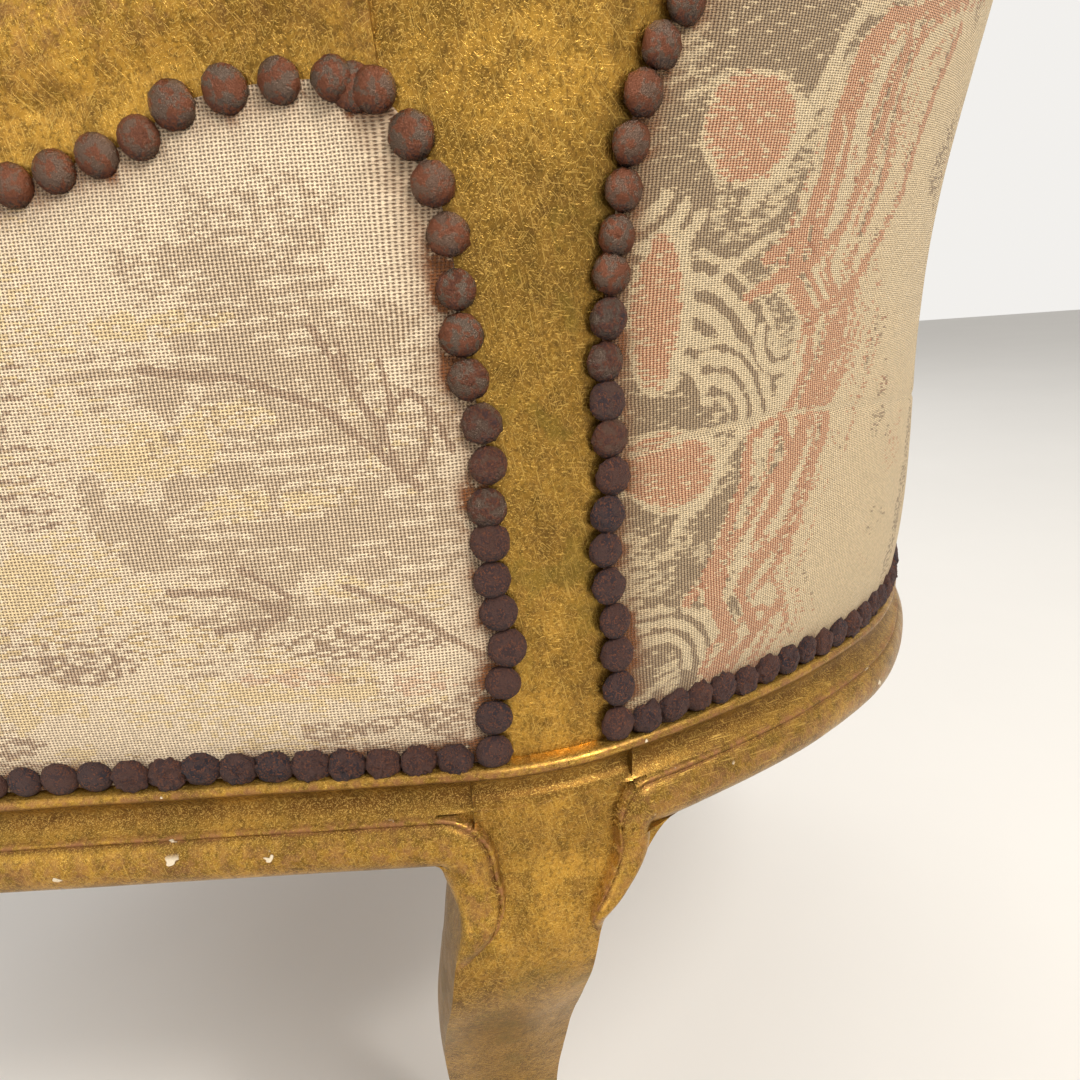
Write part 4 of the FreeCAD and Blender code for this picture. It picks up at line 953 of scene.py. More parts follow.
# %% One corner member
def corner_member(name, node_name, middle, half, facing, sweep, stations, ears, top, depth, upper_depth, side):
    """Stacks rings from the foot to the top of a block or upright.

    A ring's outer face has as many samples below the rail's underside as above it, in the same columns: those
    past the block's edge carry the ears. Up to 232 mm the ring is the leg's, from 262 mm on it is the block's."""
    low = np.concatenate([np.arange(0, 215, 4.0), np.arange(215, 262.9, 0.8), [262.99]])
    block = np.concatenate([[263.01], np.arange(263.6, 303, 0.6)])
    upright = np.concatenate([np.arange(303, 312, 3.0), np.arange(312, max(top - 30, 313), 5.0),
                              np.arange(max(top - 30, 314), top, 1.5), [top]])
    z = np.concatenate([low, block, upright])
    u = np.linspace(-1, 1, FACE_COLUMNS)
    block_u = np.clip(u * (1 + EAR_SHARE), -1, 1)
    past_u = np.abs(u * (1 + EAR_SHARE)) / EAR_SHARE - 1 / EAR_SHARE
    s_mid = on_line(middle, FACE, 0.0, 0)[:2] * 1000
    is_post = top > RAIL_TOP
    out_dir = heading(facing)
    along_face = np.array([out_dir[1], -out_dir[0]])
    heights, inward, widths, depths = (np.array(column) for column in zip(*stations))
    shift = smooth_through(z, heights, inward)
    width = smooth_through(z, heights, widths)
    thick = smooth_through(z, heights, depths)
    below = z < RAIL_BOTTOM
    ahead_side = u[None, :] > 0
    reach, wide, radius = (np.where(ahead_side, *ears[part]) for part in ("reach", "wide", "radius"))
    d = np.clip(RAIL_BOTTOM - z[:, None], 0, radius)
    flare = np.where(below[:, None], radius - np.sqrt(radius ** 2 - (radius - d) ** 2), 0)
    as_block = np.where(below, step_up(z, LEG_ENDS, BLOCK_BEGINS), 1.0)
    centre = s_mid[None, :] - heading(sweep)[None, :] * shift[:, None]
    if is_post:
        centre = centre + along_face[None, :] * smooth_through(z, *KNEE_NUDGE)[:, None]
        width = width + smooth_through(z, *KNEE_SWELL)
    h = (z - RAIL_BOTTOM)[:, None]
    straight_up = upright_share(z - ARM_TOP) * lean(z) * math.cos(math.radians(90 - SIDE_ANGLE))
    ahead = np.where(z > RAIL_TOP, FACE + straight_up, 0) * is_post
    behind = np.where(z > RAIL_TOP, 16 * step_up(z, 455, 540), 0) * is_post
    if is_post:
        ahead = ahead - 30 * (1 - np.sqrt(1 - np.clip((z - top + 30) / 30, 0, 0.999) ** 2))
    extra = np.where(below[:, None], reach + flare, 0.02)
    across = block_u[None, :] * half + np.sign(u)[None, :] * np.clip(past_u, 0, None)[None, :] * extra
    leg_half = width[:, None] / 2 + flare
    share = as_block[:, None]
    local = share * np.abs(across) + (1 - share) * np.abs(u)[None, :] * leg_half
    beyond = np.where(below[:, None], share * (half + reach) + (1 - share) * width[:, None] / 2, half + reach)
    from_edge = beyond - local
    out, worn = corner_face(from_edge, h + 0 * from_edge, wide)
    hidden = z >= UNEVEN_TO
    out = np.where(hidden[:, None], 0.0, out)
    arc_s = (middle + across + np.clip(block_u, 0, 1)[None, :] * ahead[:, None]
             + np.clip(block_u, -1, 0)[None, :] * behind[:, None])
    arc = on_line(arc_s, out, z[:, None], float(is_post))[..., :2] * 1000
    bow = 1.6 * (1 - u[None, :] ** 2) * (width / 50)[:, None]
    straight = (centre[:, None, :] + along_face[None, None, :] * (u[None, :] * leg_half)[..., None]
                + out_dir[None, None, :] * (out - FACE + bow)[..., None])
    share = share[..., None]
    face = straight * (1 - share) + arc * share
    v = np.linspace(-1, 1, INNER_COLUMNS)
    inner_s = middle - v[None, :] * half + np.where(v < 0, -v, 0)[None, :] * ahead[:, None] \
        - np.where(v > 0, v, 0)[None, :] * behind[:, None]
    deep = np.where(z > 300, upper_depth, depth)
    inner_arc = on_line(inner_s, -deep[:, None], z[:, None], float(is_post))[..., :2] * 1000
    inner_straight = (centre[:, None, :] - along_face[None, None, :] * (v[None, :, None] * width[:, None, None] * 0.4)
                      - out_dir[None, None, :] * (thick[:, None] + 1.6 * (1 - v[None, :] ** 2))[..., None])
    inner = inner_straight * (1 - share) + inner_arc * share
    rounding = 1.8 * (1 - as_block)
    fore = between(face[:, -1], inner[:, 0], SIDE_COLUMNS, -rounding)
    rear = between(inner[:, -1], face[:, 0], SIDE_COLUMNS, -rounding)
    ring = np.concatenate([face, fore, inner, rear], axis=1)
    rough = (layered_noise(np.arange(ring.shape[1])[None, :] * 0.9 + 0 * z[:, None], z[:, None], 9, 44) - 0.5) * 0.35
    middle_xy = ring.mean(axis=1, keepdims=True)
    ring = ring + (ring - middle_xy) / 30 * rough[..., None] * (z[:, None, None] < UNEVEN_TO)
    height = np.broadcast_to(z[:, None, None], ring.shape[:2] + (1,))
    points = np.concatenate([ring * [side, 1.0], height], axis=-1) / 1000
    wear = np.tile([0.2, 0.15, 0.3], ring.shape[:2] + (1,))
    wear[:, :len(u)] = worn
    # Blue channel: the gold darkens towards the foot, and painted shade darkens a band across the middle of the
    # upright, from about 300 to 500 mm.
    shade = 0.1 + 0.75 * step_up(285 - z, 0, 130) + 0.75 * step_up(z, 300, 360) * (1 - step_up(z, 440, 500))
    wear[..., 2] = shade[:, None]
    wear[hidden, :len(u), :2] = [0.08, 0.0]
    gilded(name, node_name, points, wear, 42)


# The rear knee swells and stands a little forward of the block.
KNEE_NUDGE = ([0, 60, 110, 164, 205, 240, 262, 900], [0, 5, 12, 16, 17, 11, 0, 0])
KNEE_SWELL = ([0, 60, 110, 164, 215, 249, 262, 900], [0, 2, 6, 8, 6, 2, 0, 0])
REAR_STATIONS = [(0, 32.9, 36, 35), (20, 36, 33.1, 32), (51, 45, 30, 29), (108, 41.9, 34, 33), (164, 23.9, 41, 40),
                 (215, -0.4, 45, 45), (249, -2, 49, 48), (263, -1, 50, 48), (900, -1, 50, 48)]
FRONT_STATIONS = [(0, 32.9, 36, 35), (20, 36, 33.1, 32), (51, 45, 30, 29), (108, 41.9, 34, 33), (164, 23.9, 41, 40),
                  (215, -1.4, 45, 45), (249, -7, 49, 48), (263, -3.5, 50, 48), (900, -3.5, 50, 48)]
rear_middle = (POST_REAR + POST_FRONT) / 2
front_middle = (SIDE_FRONT + BOW_START) / 2
front_facing = (SIDE_ANGLE + FRONT_ANGLE) / 2
for side, word in ((1, "right"), (-1, "left")):
    corner_member(f"gilt_rear_post_{word}", f"rear_post_{word}", rear_middle, (POST_FRONT - POST_REAR) / 2, 67, 55,
                  REAR_STATIONS, REAR_EARS, POST_TOP, BLOCK_DEPTH, POST_DEPTH, side)
    corner_member(f"gilt_front_leg_{word}", f"front_leg_{word}", front_middle, (BOW_START - SIDE_FRONT) / 2,
                  front_facing, front_facing, FRONT_STATIONS, FRONT_EARS, RAIL_TOP, 52, 16, side)

# %% [markdown]
# The arms and their stumps are rounded rails too. Sculpting would give soft, uneven edges, so a section is
# drawn in a plane across the run and changes along it, as a spokeshave would leave it. The lower edge of the
# arm is an arch beside the rear post, where the cover is nailed.

# %% The arms
def arm_underside(run):
    """Height of the arm's lower edge: flat arch, then a fall of 1.64t - 0.82t^2 times the drop."""
    share = np.clip((run / ARM_LENGTH - 0.09) / 0.65, 0, 1)
    flare = 26 * np.clip(1 - run / (ARM_LENGTH * 0.072), 0, None) ** 2
    return ARM_TOP - 57 - 38 * share * (2 - share) * 0.82 - flare


def arm_upperside(run):
    """Height of the arm's top: level beside the post, then a smoothstep down to the stump."""
    share = np.clip((run / ARM_LENGTH - 0.065) / 0.69, 0, 1)
    return ARM_TOP - 38 * share * share * (3 - 2 * share)


def side_out_by(run, z):
    """The side's outward lean beside the rear post, fading out along the arm."""
    return lean(z) * side_out[1] * np.clip(1 - np.clip(run, 0, None) / (ARM_LENGTH * 0.3), 0, None)


def arm_rail(name, node_name, side):
    """The arm's section, flat outside with a swelling, rounded on top, carried along the run and pinched at its end."""
    run = np.concatenate([np.arange(2.6, 60, 3.0), np.arange(60, 276, 6.0), np.linspace(276, ARM_LENGTH - 0.5, 14)])
    end = np.clip((run - 276) / (ARM_LENGTH - 276), 0, 1)
    pinch = 17 - np.sqrt(np.clip(17 ** 2 - (17 * end) ** 2, 0, None))
    low = arm_underside(run) + 0.55 * pinch
    high = arm_upperside(run) - 1.1 * pinch
    body = high - low
    t = np.linspace(0, 1, 16)
    over = np.pi * np.linspace(0.04, 0.96, 18)
    section_out = np.concatenate([np.zeros(6), 4.2 * np.sin(np.pi * t) ** 0.8 - 3 * t ** 3,
                                  -POST_DEPTH / 2 + (POST_DEPTH / 2 - 3) * np.cos(over), [-POST_DEPTH + 0.4],
                                  -POST_DEPTH + np.zeros(8)])
    section_up = np.concatenate([np.linspace(0, 0.36, 6), 0.36 + 0.56 * np.linspace(0.02, 1, 16),
                                 0.93 + 0.07 * np.sin(over), [0.93], np.linspace(0.9, 0.0, 8)])
    z = low[:, None] + body[:, None] * section_up[None, :]
    middle = -POST_DEPTH / 2
    out = middle + (section_out[None, :] - middle) * (1 - pinch[:, None] / 17.5)
    out = out + side_out_by(run[:, None], z)
    points = on_line(POST_FRONT + run[:, None] + 0 * z, out, z, 0) * [side, 1, 1]
    ridge = np.exp(-((section_up - 0.66) / 0.2) ** 2)[None, :, None] * np.array([0.35, 0, 0])
    wear = np.broadcast_to(ridge + np.array([0.08, 0.02, 0.05]), points.shape)
    gilded(name, node_name, points, wear, 48)


# %% The arm stumps
def arm_stump(name, node_name, side):
    """The upright under the arm's front end, with a rounded front that sways a little."""
    z = np.linspace(RAIL_TOP, 458, 44)
    share = (z - RAIL_TOP) / (480 - RAIL_TOP)
    back = STUMP_BACK + np.interp(share, [0, 0.3, 0.52, 0.76, 0.89, 1], [0, 0, -3, -3, 0, 0])
    fore = 292 + smooth_through(share, [0, 0.14, 0.3, 0.52, 0.76, 0.89, 1], [0, 0, -2, -8.8, -7.8, 2, 4])
    turn = np.linspace(-np.pi / 2, np.pi / 2, 24)
    out_ring = np.concatenate([-17 - 15.6 * np.sin(turn), [-32.6, -1.4]])
    ahead_ring = np.concatenate([np.cos(turn) ** 0.6, [-9.0, -9.0]])
    run = np.where(ahead_ring[None, :] > -5, fore[:, None] - 8 + 8 * ahead_ring[None, :], back[:, None])
    points = on_line(POST_FRONT + run, out_ring[None, :], z[:, None], 0) * [side, 1, 1]
    wear = np.broadcast_to(np.array([0.25, 0.05, 0.2]), points.shape)
    gilded(name, node_name, points, wear, 48)


for side, word in ((1, "right"), (-1, "left")):
    arm_rail(f"gilt_arm_{word}", f"arm_rail_{word}", side)
    arm_stump(f"gilt_arm_stump_{word}", f"arm_stump_{word}", side)


# %% [markdown]
# The crest rail closes the back. Its top is a parabola that falls from the middle to the posts, and its section
# is the arm's: a flat for the nails, a swelling and a rounded top.

# %% The crest rail
def crest_top(s):
    """Height of the crest's top edge at a distance along the back."""
    return CREST_TOP - CREST_FALL * (np.abs(s) / POST_REAR) ** 2


def crest_rail():
    """The crest's section carried along the back's leaning arc."""
    s = np.linspace(-POST_REAR, POST_REAR, 181)
    t = np.linspace(0, 1, 22)
    out = np.concatenate([[0, 0, 0], 5.2 * np.sin(np.pi * t) ** 0.8 - 3 * t ** 3,
                          -17 + 14 * np.cos(np.pi * np.linspace(0.05, 0.95, 18)), [-33.6, -34, -34, -34]])
    up = np.concatenate([[0, 7, 14], 14.5 + 29 * t, 44 + 4 * np.sin(np.pi * np.linspace(0.05, 0.95, 18)),
                         [43, 40, 20, 0]])
    z = (crest_top(s) - CREST_HEIGHT)[:, None] + up[None, :]
    points = on_line(s[:, None], out[None, :], z)
    ridge = np.exp(-((up - 30) / 9) ** 2)[None, :, None] * np.array([0.5, 0, 0])
    wear = np.broadcast_to(ridge + np.array([0.08, 0.02, 0.05]), points.shape)
    gilded("gilt_crest", "crest_rail", points, wear, 48)


crest_rail()
for label in ("arm_tacking_rail_right", "arm_tacking_rail_left", "back_tacking_rail", "rear_corner_block_right",
              "rear_corner_block_left", "front_corner_block_right", "front_corner_block_left"):
    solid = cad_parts[label].data
    solid.materials.clear()
    solid.materials.append(beech_along if label.startswith("arm") else beech_across)
print("arms, stumps and crest made")

# %% [markdown]
# Rows of domed iron nails hold every cloth edge. Their places are (distance along the plan, height) pairs;
# beside the right rear post they follow the rows as they really stand, a little uneven, elsewhere they are
# spaced evenly along the cloth's edge. The path of a row also gives the cloth its edge, a little outside.

# %% Paths of the nail rows
def resample(points, step=None, count=None):
    """Points at even distances along a broken line."""
    points = np.asarray(points, float)
    gaps = np.hypot(*np.diff(points, axis=0).T)
    place = np.concatenate([[0], np.cumsum(gaps)])
    if count is None:
        count = max(int(round(place[-1] / step)), 1) + 1
    at = np.linspace(0, place[-1], count)
    return np.stack([np.interp(at, place, points[:, 0]), np.interp(at, place, points[:, 1])], axis=1)


def smoothed(points, rounds=2):
    """Rounds a broken line's corners: each round cuts every corner at its quarters."""
    points = np.asarray(points, float)
    for _ in range(rounds):
        a, b = points[:-1], points[1:]
        inner = np.stack([a * 0.75 + b * 0.25, a * 0.25 + b * 0.75], axis=1).reshape(-1, 2)
        points = np.vstack([points[:1], inner[1:-1], points[-1:]])
    return points


def moved_out(points, by, centre):
    """Shifts a line sideways by a distance, away from a centre."""
    ahead = np.gradient(points, axis=0)
    normal = np.stack([ahead[:, 1], -ahead[:, 0]], axis=1)
    normal /= np.linalg.norm(normal, axis=1, keepdims=True) + 1e-9
    away = np.sign(((points - centre) * normal).sum(axis=1, keepdims=True))
    return points + normal * away * by


# %% Where the nails stand
side_column = [(361, 302), (360, 314), (356.3, 325.5), (354, 337), (355.5, 349), (356.5, 359.5), (356, 371),
               (356, 381.5), (354.5, 394), (355.5, 406), (358.5, 418.5), (360, 430.5), (361.5, 442.5),
               (364, 456.5), (368.4, 469), (372, 480.8)]
side_arch = [(376, 491.8), (383.5, 495), (397, 495.6), (411, 494.8), (425, 492.4)]
back_column = [(320, 303), (319, 315.5), (319, 327.5), (319, 339), (320.5, 351), (321, 363), (319.5, 374),
               (317, 385.5), (317.5, 397), (318, 408), (318.8, 419.5), (318, 431.5), (318, 443.5), (317.2, 453.5),
               (316.5, 465), (316, 476.5), (314.5, 488.5), (311.5, 499.5), (306, 510)]

cover_front = POST_FRONT + STUMP_BACK + 4
arm_run = np.linspace(66, STUMP_BACK - 6, 24)
arm_row = np.stack([POST_FRONT + arm_run, arm_underside(arm_run) + 8], axis=1)
front_column = [(cover_front - 4, 462), (cover_front, 450), (cover_front, NAIL_LINE)]
side_path = np.vstack([side_column, side_arch, arm_row, front_column])
crest_angle = np.linspace(0.955, 0, 60)
crest_row = np.stack([crest_angle * POST_REAR, crest_top(crest_angle * POST_REAR) - CREST_HEIGHT + 5], axis=1)
upper_column = [(304, 522), (301, 536), (299, 556), (298, 590), (298, 680), (299, 740), (299, 770)]
half_back = np.vstack([back_column, upper_column, crest_row])
print("side row", len(side_path), "points; half of the back's row", len(half_back), "points")


# %% [markdown]
# A cover is nailed along its rim and swells between the rows. Each panel is a grid between its four edges,
# raised by its distance from the rim, with a dip towards each nail, and closed by a flat back so that it has
# a thickness. Stains of rust and dirt round the nails are painted by the same distance.

# %% Cloth panels
def coons(bottom, top, left, right, u=None, v=None):
    """A grid between four lines: the sum of both straight blends less the blend of the corners."""
    u = (np.linspace(0, 1, len(bottom)) if u is None else u)[None, :, None]
    v = (np.linspace(0, 1, len(left)) if v is None else v)[:, None, None]
    across = left[:, None] * (1 - u) + right[:, None] * u
    along = bottom[None] * (1 - v) + top[None] * v
    corners = (bottom[0] * (1 - u) + bottom[-1] * u) * (1 - v) + (top[0] * (1 - u) + top[-1] * u) * v
    return across + along - corners


# %% A panel with a thickness
def rim_of(field):
    """The values round a grid's rim, in order."""
    return np.concatenate([field[0, :-1], field[:-1, -1], field[-1, :0:-1], field[:0:-1, 0]])


def panel(name, grid, height, lay_on, dye, cloth, wear, mirror=1):
    """A closed panel of cloth: a crowned face and a flat back on the same grid of (distance, height)."""
    rows, cols = grid.shape[:2]
    s, z = grid[..., 0], grid[..., 1]
    front = lay_on(s, height, z)
    back = lay_on(s, np.full_like(s, BACK_GAP), z)
    index = np.arange(rows * cols).reshape(rows, cols)
    quads = np.stack([index[:-1, :-1], index[:-1, 1:], index[1:, 1:], index[1:, :-1]], axis=-1).reshape(-1, 4)
    other = quads[:, ::-1] + rows * cols
    loop = rim_of(index)
    following = np.roll(loop, -1)
    rim = np.stack([following, loop, loop + rows * cols, following + rows * cols], axis=-1)
    verts = np.vstack([front.reshape(-1, 3), back.reshape(-1, 3)]) * [mirror, 1, 1]
    mesh = smooth_mesh(name, verts, np.vstack([quads, other, rim]).tolist())
    add_map(mesh, np.tile(np.stack([s, z], axis=-1).reshape(-1, 2) / 1000, (2, 1)))
    add_paint(mesh, "Dye", np.tile(np.clip(dye(s, z), 0, 1).reshape(-1, 4), (2, 1)))
    add_paint(mesh, "WearAndShade", np.tile(wear.reshape(-1, 3), (2, 1)))
    made = linked(name, mesh)
    merged(mesh, 1e-6, outwards=True)
    mesh.materials.append(cloth)
    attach(made, "chair")
    return made


BACK_GAP = 0.25  # how far the cloth's back lies from the wood, in millimetres


# %% Crowns, puckers and stains
def edge_distance(grid):
    """Distance in millimetres from each grid point to the panel's rim, and the rim position it is nearest to."""
    rows, cols = grid.shape[:2]
    rim = rim_of(grid)
    place = np.concatenate([[0], np.cumsum(np.hypot(*np.diff(rim, axis=0).T))])
    flat = grid.reshape(-1, 2)
    thin, where = rim[::3], place[::3]
    best = np.full(len(flat), 1e9)
    spot = np.zeros(len(flat))
    for start in range(0, len(flat), 20000):
        part = flat[start:start + 20000]
        d = np.hypot(part[:, None, 0] - thin[None, :, 0], part[:, None, 1] - thin[None, :, 1])
        near = d.argmin(axis=1)
        best[start:start + 20000] = d[np.arange(len(part)), near]
        spot[start:start + 20000] = where[near]
    return best.reshape(rows, cols), spot.reshape(rows, cols)


def pulled(d, spot, pitch, height, edge=1.2, spread=16.0):
    """Crown and puckers: the face rises from the rim as 1 - exp(-d/spread), and dips towards every nail."""
    rise = edge + (height - edge) * (1 - np.exp(-np.clip(d - 4, 0, None) / spread))
    pucker = 0.55 * np.cos(2 * np.pi * spot / pitch) * np.exp(-d / 10)
    return rise + pucker * step_up(d, 1, 5)


def nail_marks(d, spot, z):
    """Rust stains and dirt beside the nails, stronger low down."""
    low = 0.75 + 0.25 * step_up(420 - z, -80, 80)
    blots = step_up(layered_noise(spot, z * 0.3, 9, 77), 0.35, 0.75)
    rust = np.exp(-np.clip(d - 6.2, 0, None) / 2.4) * (0.45 + 1.3 * blots) * low
    dirt = np.exp(-np.clip(d - 5, 0, None) / 7) * 0.55 * low
    return np.stack([rust, dirt, np.zeros_like(d)], axis=-1)


# %% [markdown]
# The outside arm panel runs from the rear post to the stump, under the arm's arched edge. It is folded in at
# the arch's corner, where two small creases run down. Left and right are the same cloth, mirrored.

# %% Outside arm panels
def on_side_face(s, out, z):
    """Places a point of the side panels: round the post it leans with the post, beyond it only slightly outward."""
    run = s - POST_FRONT
    share = step_up(run, -2, 10)
    leaning = on_line(s, out, z, 1.0)
    upright = on_line(s, out + side_out_by(run, z), z, 0.0)
    return leaning * (1 - share[..., None]) + upright * share[..., None]


side_centre = np.array([500.0, 400.0])
cloth_edge = moved_out(resample(smoothed(side_path, 1), count=400), 0.4, side_centre)
corner_a = int(np.argmin(np.hypot(cloth_edge[:, 0] - 370, cloth_edge[:, 1] - 494)))
corner_b = int(np.argmin(np.hypot(cloth_edge[:, 0] - cover_front - 1, cloth_edge[:, 1] - 462)))
left_line = resample(np.vstack([[cloth_edge[0, 0], CLOTH_BOTTOM], cloth_edge[:corner_a + 1]]), count=165)
top_line = resample(cloth_edge[corner_a:corner_b + 1], count=215)
right_line = resample(np.vstack([cloth_edge[corner_b:], [cloth_edge[-1, 0], CLOTH_BOTTOM]])[::-1], count=165)
bottom_line = resample([left_line[0], right_line[0]], count=215)
side_grid = coons(bottom_line, top_line, left_line, right_line)
run, rise = side_grid[..., 0], side_grid[..., 1]
d, spot = edge_distance(side_grid)
fold = 0.9 * np.exp(-((run - 388 - 0.06 * (495 - rise)) / 3.0) ** 2) * step_up(rise, 440, 480)
fold = fold + 0.7 * np.exp(-((run - 432) / 6.0) ** 2) * step_up(rise, 430, 470)
waves = 0.8 * (layered_noise(run, rise, 60, 17) - 0.5) * step_up(d, 4, 20)
side_height = pulled(d, spot, 12.0, 5.4) - fold * step_up(d, 3, 10) + waves
side_marks = nail_marks(d, spot, rise)
for side, word in ((1, "right"), (-1, "left")):
    cover = panel(f"arm_panel_outside_{word}", side_grid, side_height, on_side_face, side_dye, side_cloth,
                  side_marks, side)
    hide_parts(f"outside_arm_cover_{word}")
print("outside arm panels:", len(cover.data.vertices), "points each")

# %% [markdown]
# The outside back wraps the whole arc from post to post. Its grid is finer on the right, where the photograph
# looks, and a seam runs across it with its thread showing.

# %% Outside back panel
half_edge = moved_out(resample(smoothed(half_back, 1), count=500), 0.4, np.array([0.0, 560.0]))
half_edge[-1, 0] = 0.0
shoulder_at = int(np.argmin(np.hypot(half_edge[:, 0] - 296, half_edge[:, 1] - 780)))
fine = np.concatenate([np.linspace(0, 0.5, 150), np.linspace(0.5, 1, 62)[1:]])
side_part = np.vstack([[half_edge[0, 0], CLOTH_BOTTOM], half_edge[:shoulder_at + 1]])
place = np.concatenate([[0], np.cumsum(np.hypot(*np.diff(side_part, axis=0).T))])
right_side = np.stack([np.interp(fine * place[-1], place, side_part[:, k]) for k in (0, 1)], axis=1)
left_side = right_side * [-1, 1]
across = np.concatenate([-320 + np.linspace(0, 1, 50)[:-1] * 170, np.linspace(-150, 150, 60)[:-1],
                         150 + np.linspace(0, 1, 118) * 170]) / 320
top_half = half_edge[shoulder_at:]
top_full = np.vstack([top_half * [-1, 1], top_half[::-1][1:]])
top_place = np.concatenate([[0], np.cumsum(np.hypot(*np.diff(top_full, axis=0).T))])
at = (across + 1) / 2 * top_place[-1]
top_side = np.stack([np.interp(at, top_place, top_full[:, k]) for k in (0, 1)], axis=1)
bottom_side = np.stack([across * right_side[0, 0], np.full_like(across, CLOTH_BOTTOM)], axis=1)


back_grid = coons(bottom_side, top_side, left_side, right_side, (across + 1) / 2, fine)
run, rise = back_grid[..., 0], back_grid[..., 1]
d, spot = edge_distance(back_grid)
seam_height = np.interp(np.abs(run), [60, 100, 186, 232, 266, 288, 312], [379, 381, 390, 394, 396, 394, 390])
seam = np.exp(-((rise - seam_height) / 1.1) ** 2)
waves = 1.0 * (layered_noise(run, rise, 70, 19) - 0.5) * step_up(d, 4, 20)
back_height = pulled(d, spot, 12.4, 8.6, spread=24.0) - 0.9 * seam + waves
thread = np.exp(-((rise - seam_height - 0.4) / 0.8) ** 2)


def back_dye_sewn(s, z):
    """The back's dyes with the pale thread of its cross seam."""
    return lay(back_dye(s, z), CREAM, thread)


back_panel = panel("back_panel_outside", back_grid, back_height, on_line, back_dye_sewn, back_cloth,
                   nail_marks(d, spot, rise))
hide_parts("outside_back_cover")
print("outside back panel:", len(back_panel.data.vertices), "points")

# %% [markdown]
# The nails are iron domes, browned where they stay dry and crusted with rust near the floor. One dome is
# drawn as a few rings and placed many times, then the row is one mesh. Instances would be lighter, but each
# nail gets its own turn, size and dents, and its share of rust is painted on it. The lower half of every dome
# is darkened too, partly as crust and partly as painted shade.

# %% Rusty iron
iron, tree, shader = new_material("rusty_iron")
place_out = object_place(tree)
crusted, tinted, underside, _ = paint_of(tree, "WearAndShade")
blotches = noise(tree, place_out, 300, 5, 0.65)
grit = noise(tree, place_out, 1500, 4, 0.7)
metal = mix(tree, ramp(tree, blotches, 0.46, 0.54), rgb(86, 72, 60), rgb(100, 56, 34))
red = mix(tree, ramp(tree, blotches, 0.46, 0.58), rgb(74, 50, 46), rgb(140, 80, 46))
both = scaled(tree, grit, 0.5, times(tree, blotches, 0.5))
crust = mix(tree, ramp(tree, both, 0.47, 0.54), red, rgb(34, 30, 40))
share = maths(tree, "ADD", crusted, scaled(tree, blotches, 0.9, -0.45))
share = ramp(tree, share, 0.25, 0.75)
# Lower half of each dome darkened, broken up by grit: partly crust, partly painted shade.
shade_and_crust_below = times(tree, underside, ramp(tree, grit, 0.35, 0.6))
colour = glazed(tree, metal, (
    (share, crust),
    (times(tree, tinted, 0.3), rgb(116, 66, 40)),
    (ramp(tree, shade_and_crust_below, 0.2, 0.8, (0.0, 0.75)), rgb(38, 30, 34))))
link(tree, colour, shader.inputs["Base Color"])
link(tree, scaled(tree, share, -0.45, 0.6), shader.inputs["Metallic"])
link(tree, scaled(tree, share, 0.40, scaled(tree, blotches, 0.25, 0.15)),
     shader.inputs["Roughness"])
bump(tree, shader, times(tree, grit, scaled(tree, share, 1.0, 0.3)), 0.0016, 1.0)
print("iron uses", len(iron.node_tree.nodes), "nodes")


# %% [markdown]
# Each nail needs its own place, its own outward direction, and a turn and size that differ a little from its
# neighbour's. All of them are worked out at once, as arrays with one row for each nail.

# %% Making a row of nails
def dome(rings, around, radius=1.0, height=0.56):
    """A dome: rings at angles from the rim to the crown, radius r cos a, height h sin a, and a short skirt."""
    a = np.concatenate([[-0.16], np.linspace(0.0, 1, rings)[:-1] ** 0.9]) * np.pi / 2
    t = np.linspace(0, 2 * np.pi, around, endpoint=False)
    x = radius * np.cos(a)[:, None] * np.cos(t)
    y = radius * np.cos(a)[:, None] * np.sin(t)
    z = height * np.sin(a)[:, None] + 0 * t
    verts = np.vstack([np.stack([x, y, z], axis=-1).reshape(-1, 3), [[0, 0, height], [0, 0, height * a[0] / 1.6]]])
    index = np.arange(len(a) * around).reshape(len(a), around)
    after = np.roll(index, -1, axis=1)
    quads = np.stack([index[:-1], after[:-1], after[1:], index[1:]], axis=-1).reshape(-1, 4)
    crown, base = np.full((2, around), [[len(verts) - 2], [len(verts) - 1]])
    tris = np.vstack([np.stack([index[-1], after[-1], crown], axis=1), np.stack([after[0], index[0], base], axis=1)])
    return verts, quads, tris


def unit(vectors):
    """The same directions with length one."""
    return vectors / np.linalg.norm(vectors, axis=1, keepdims=True)


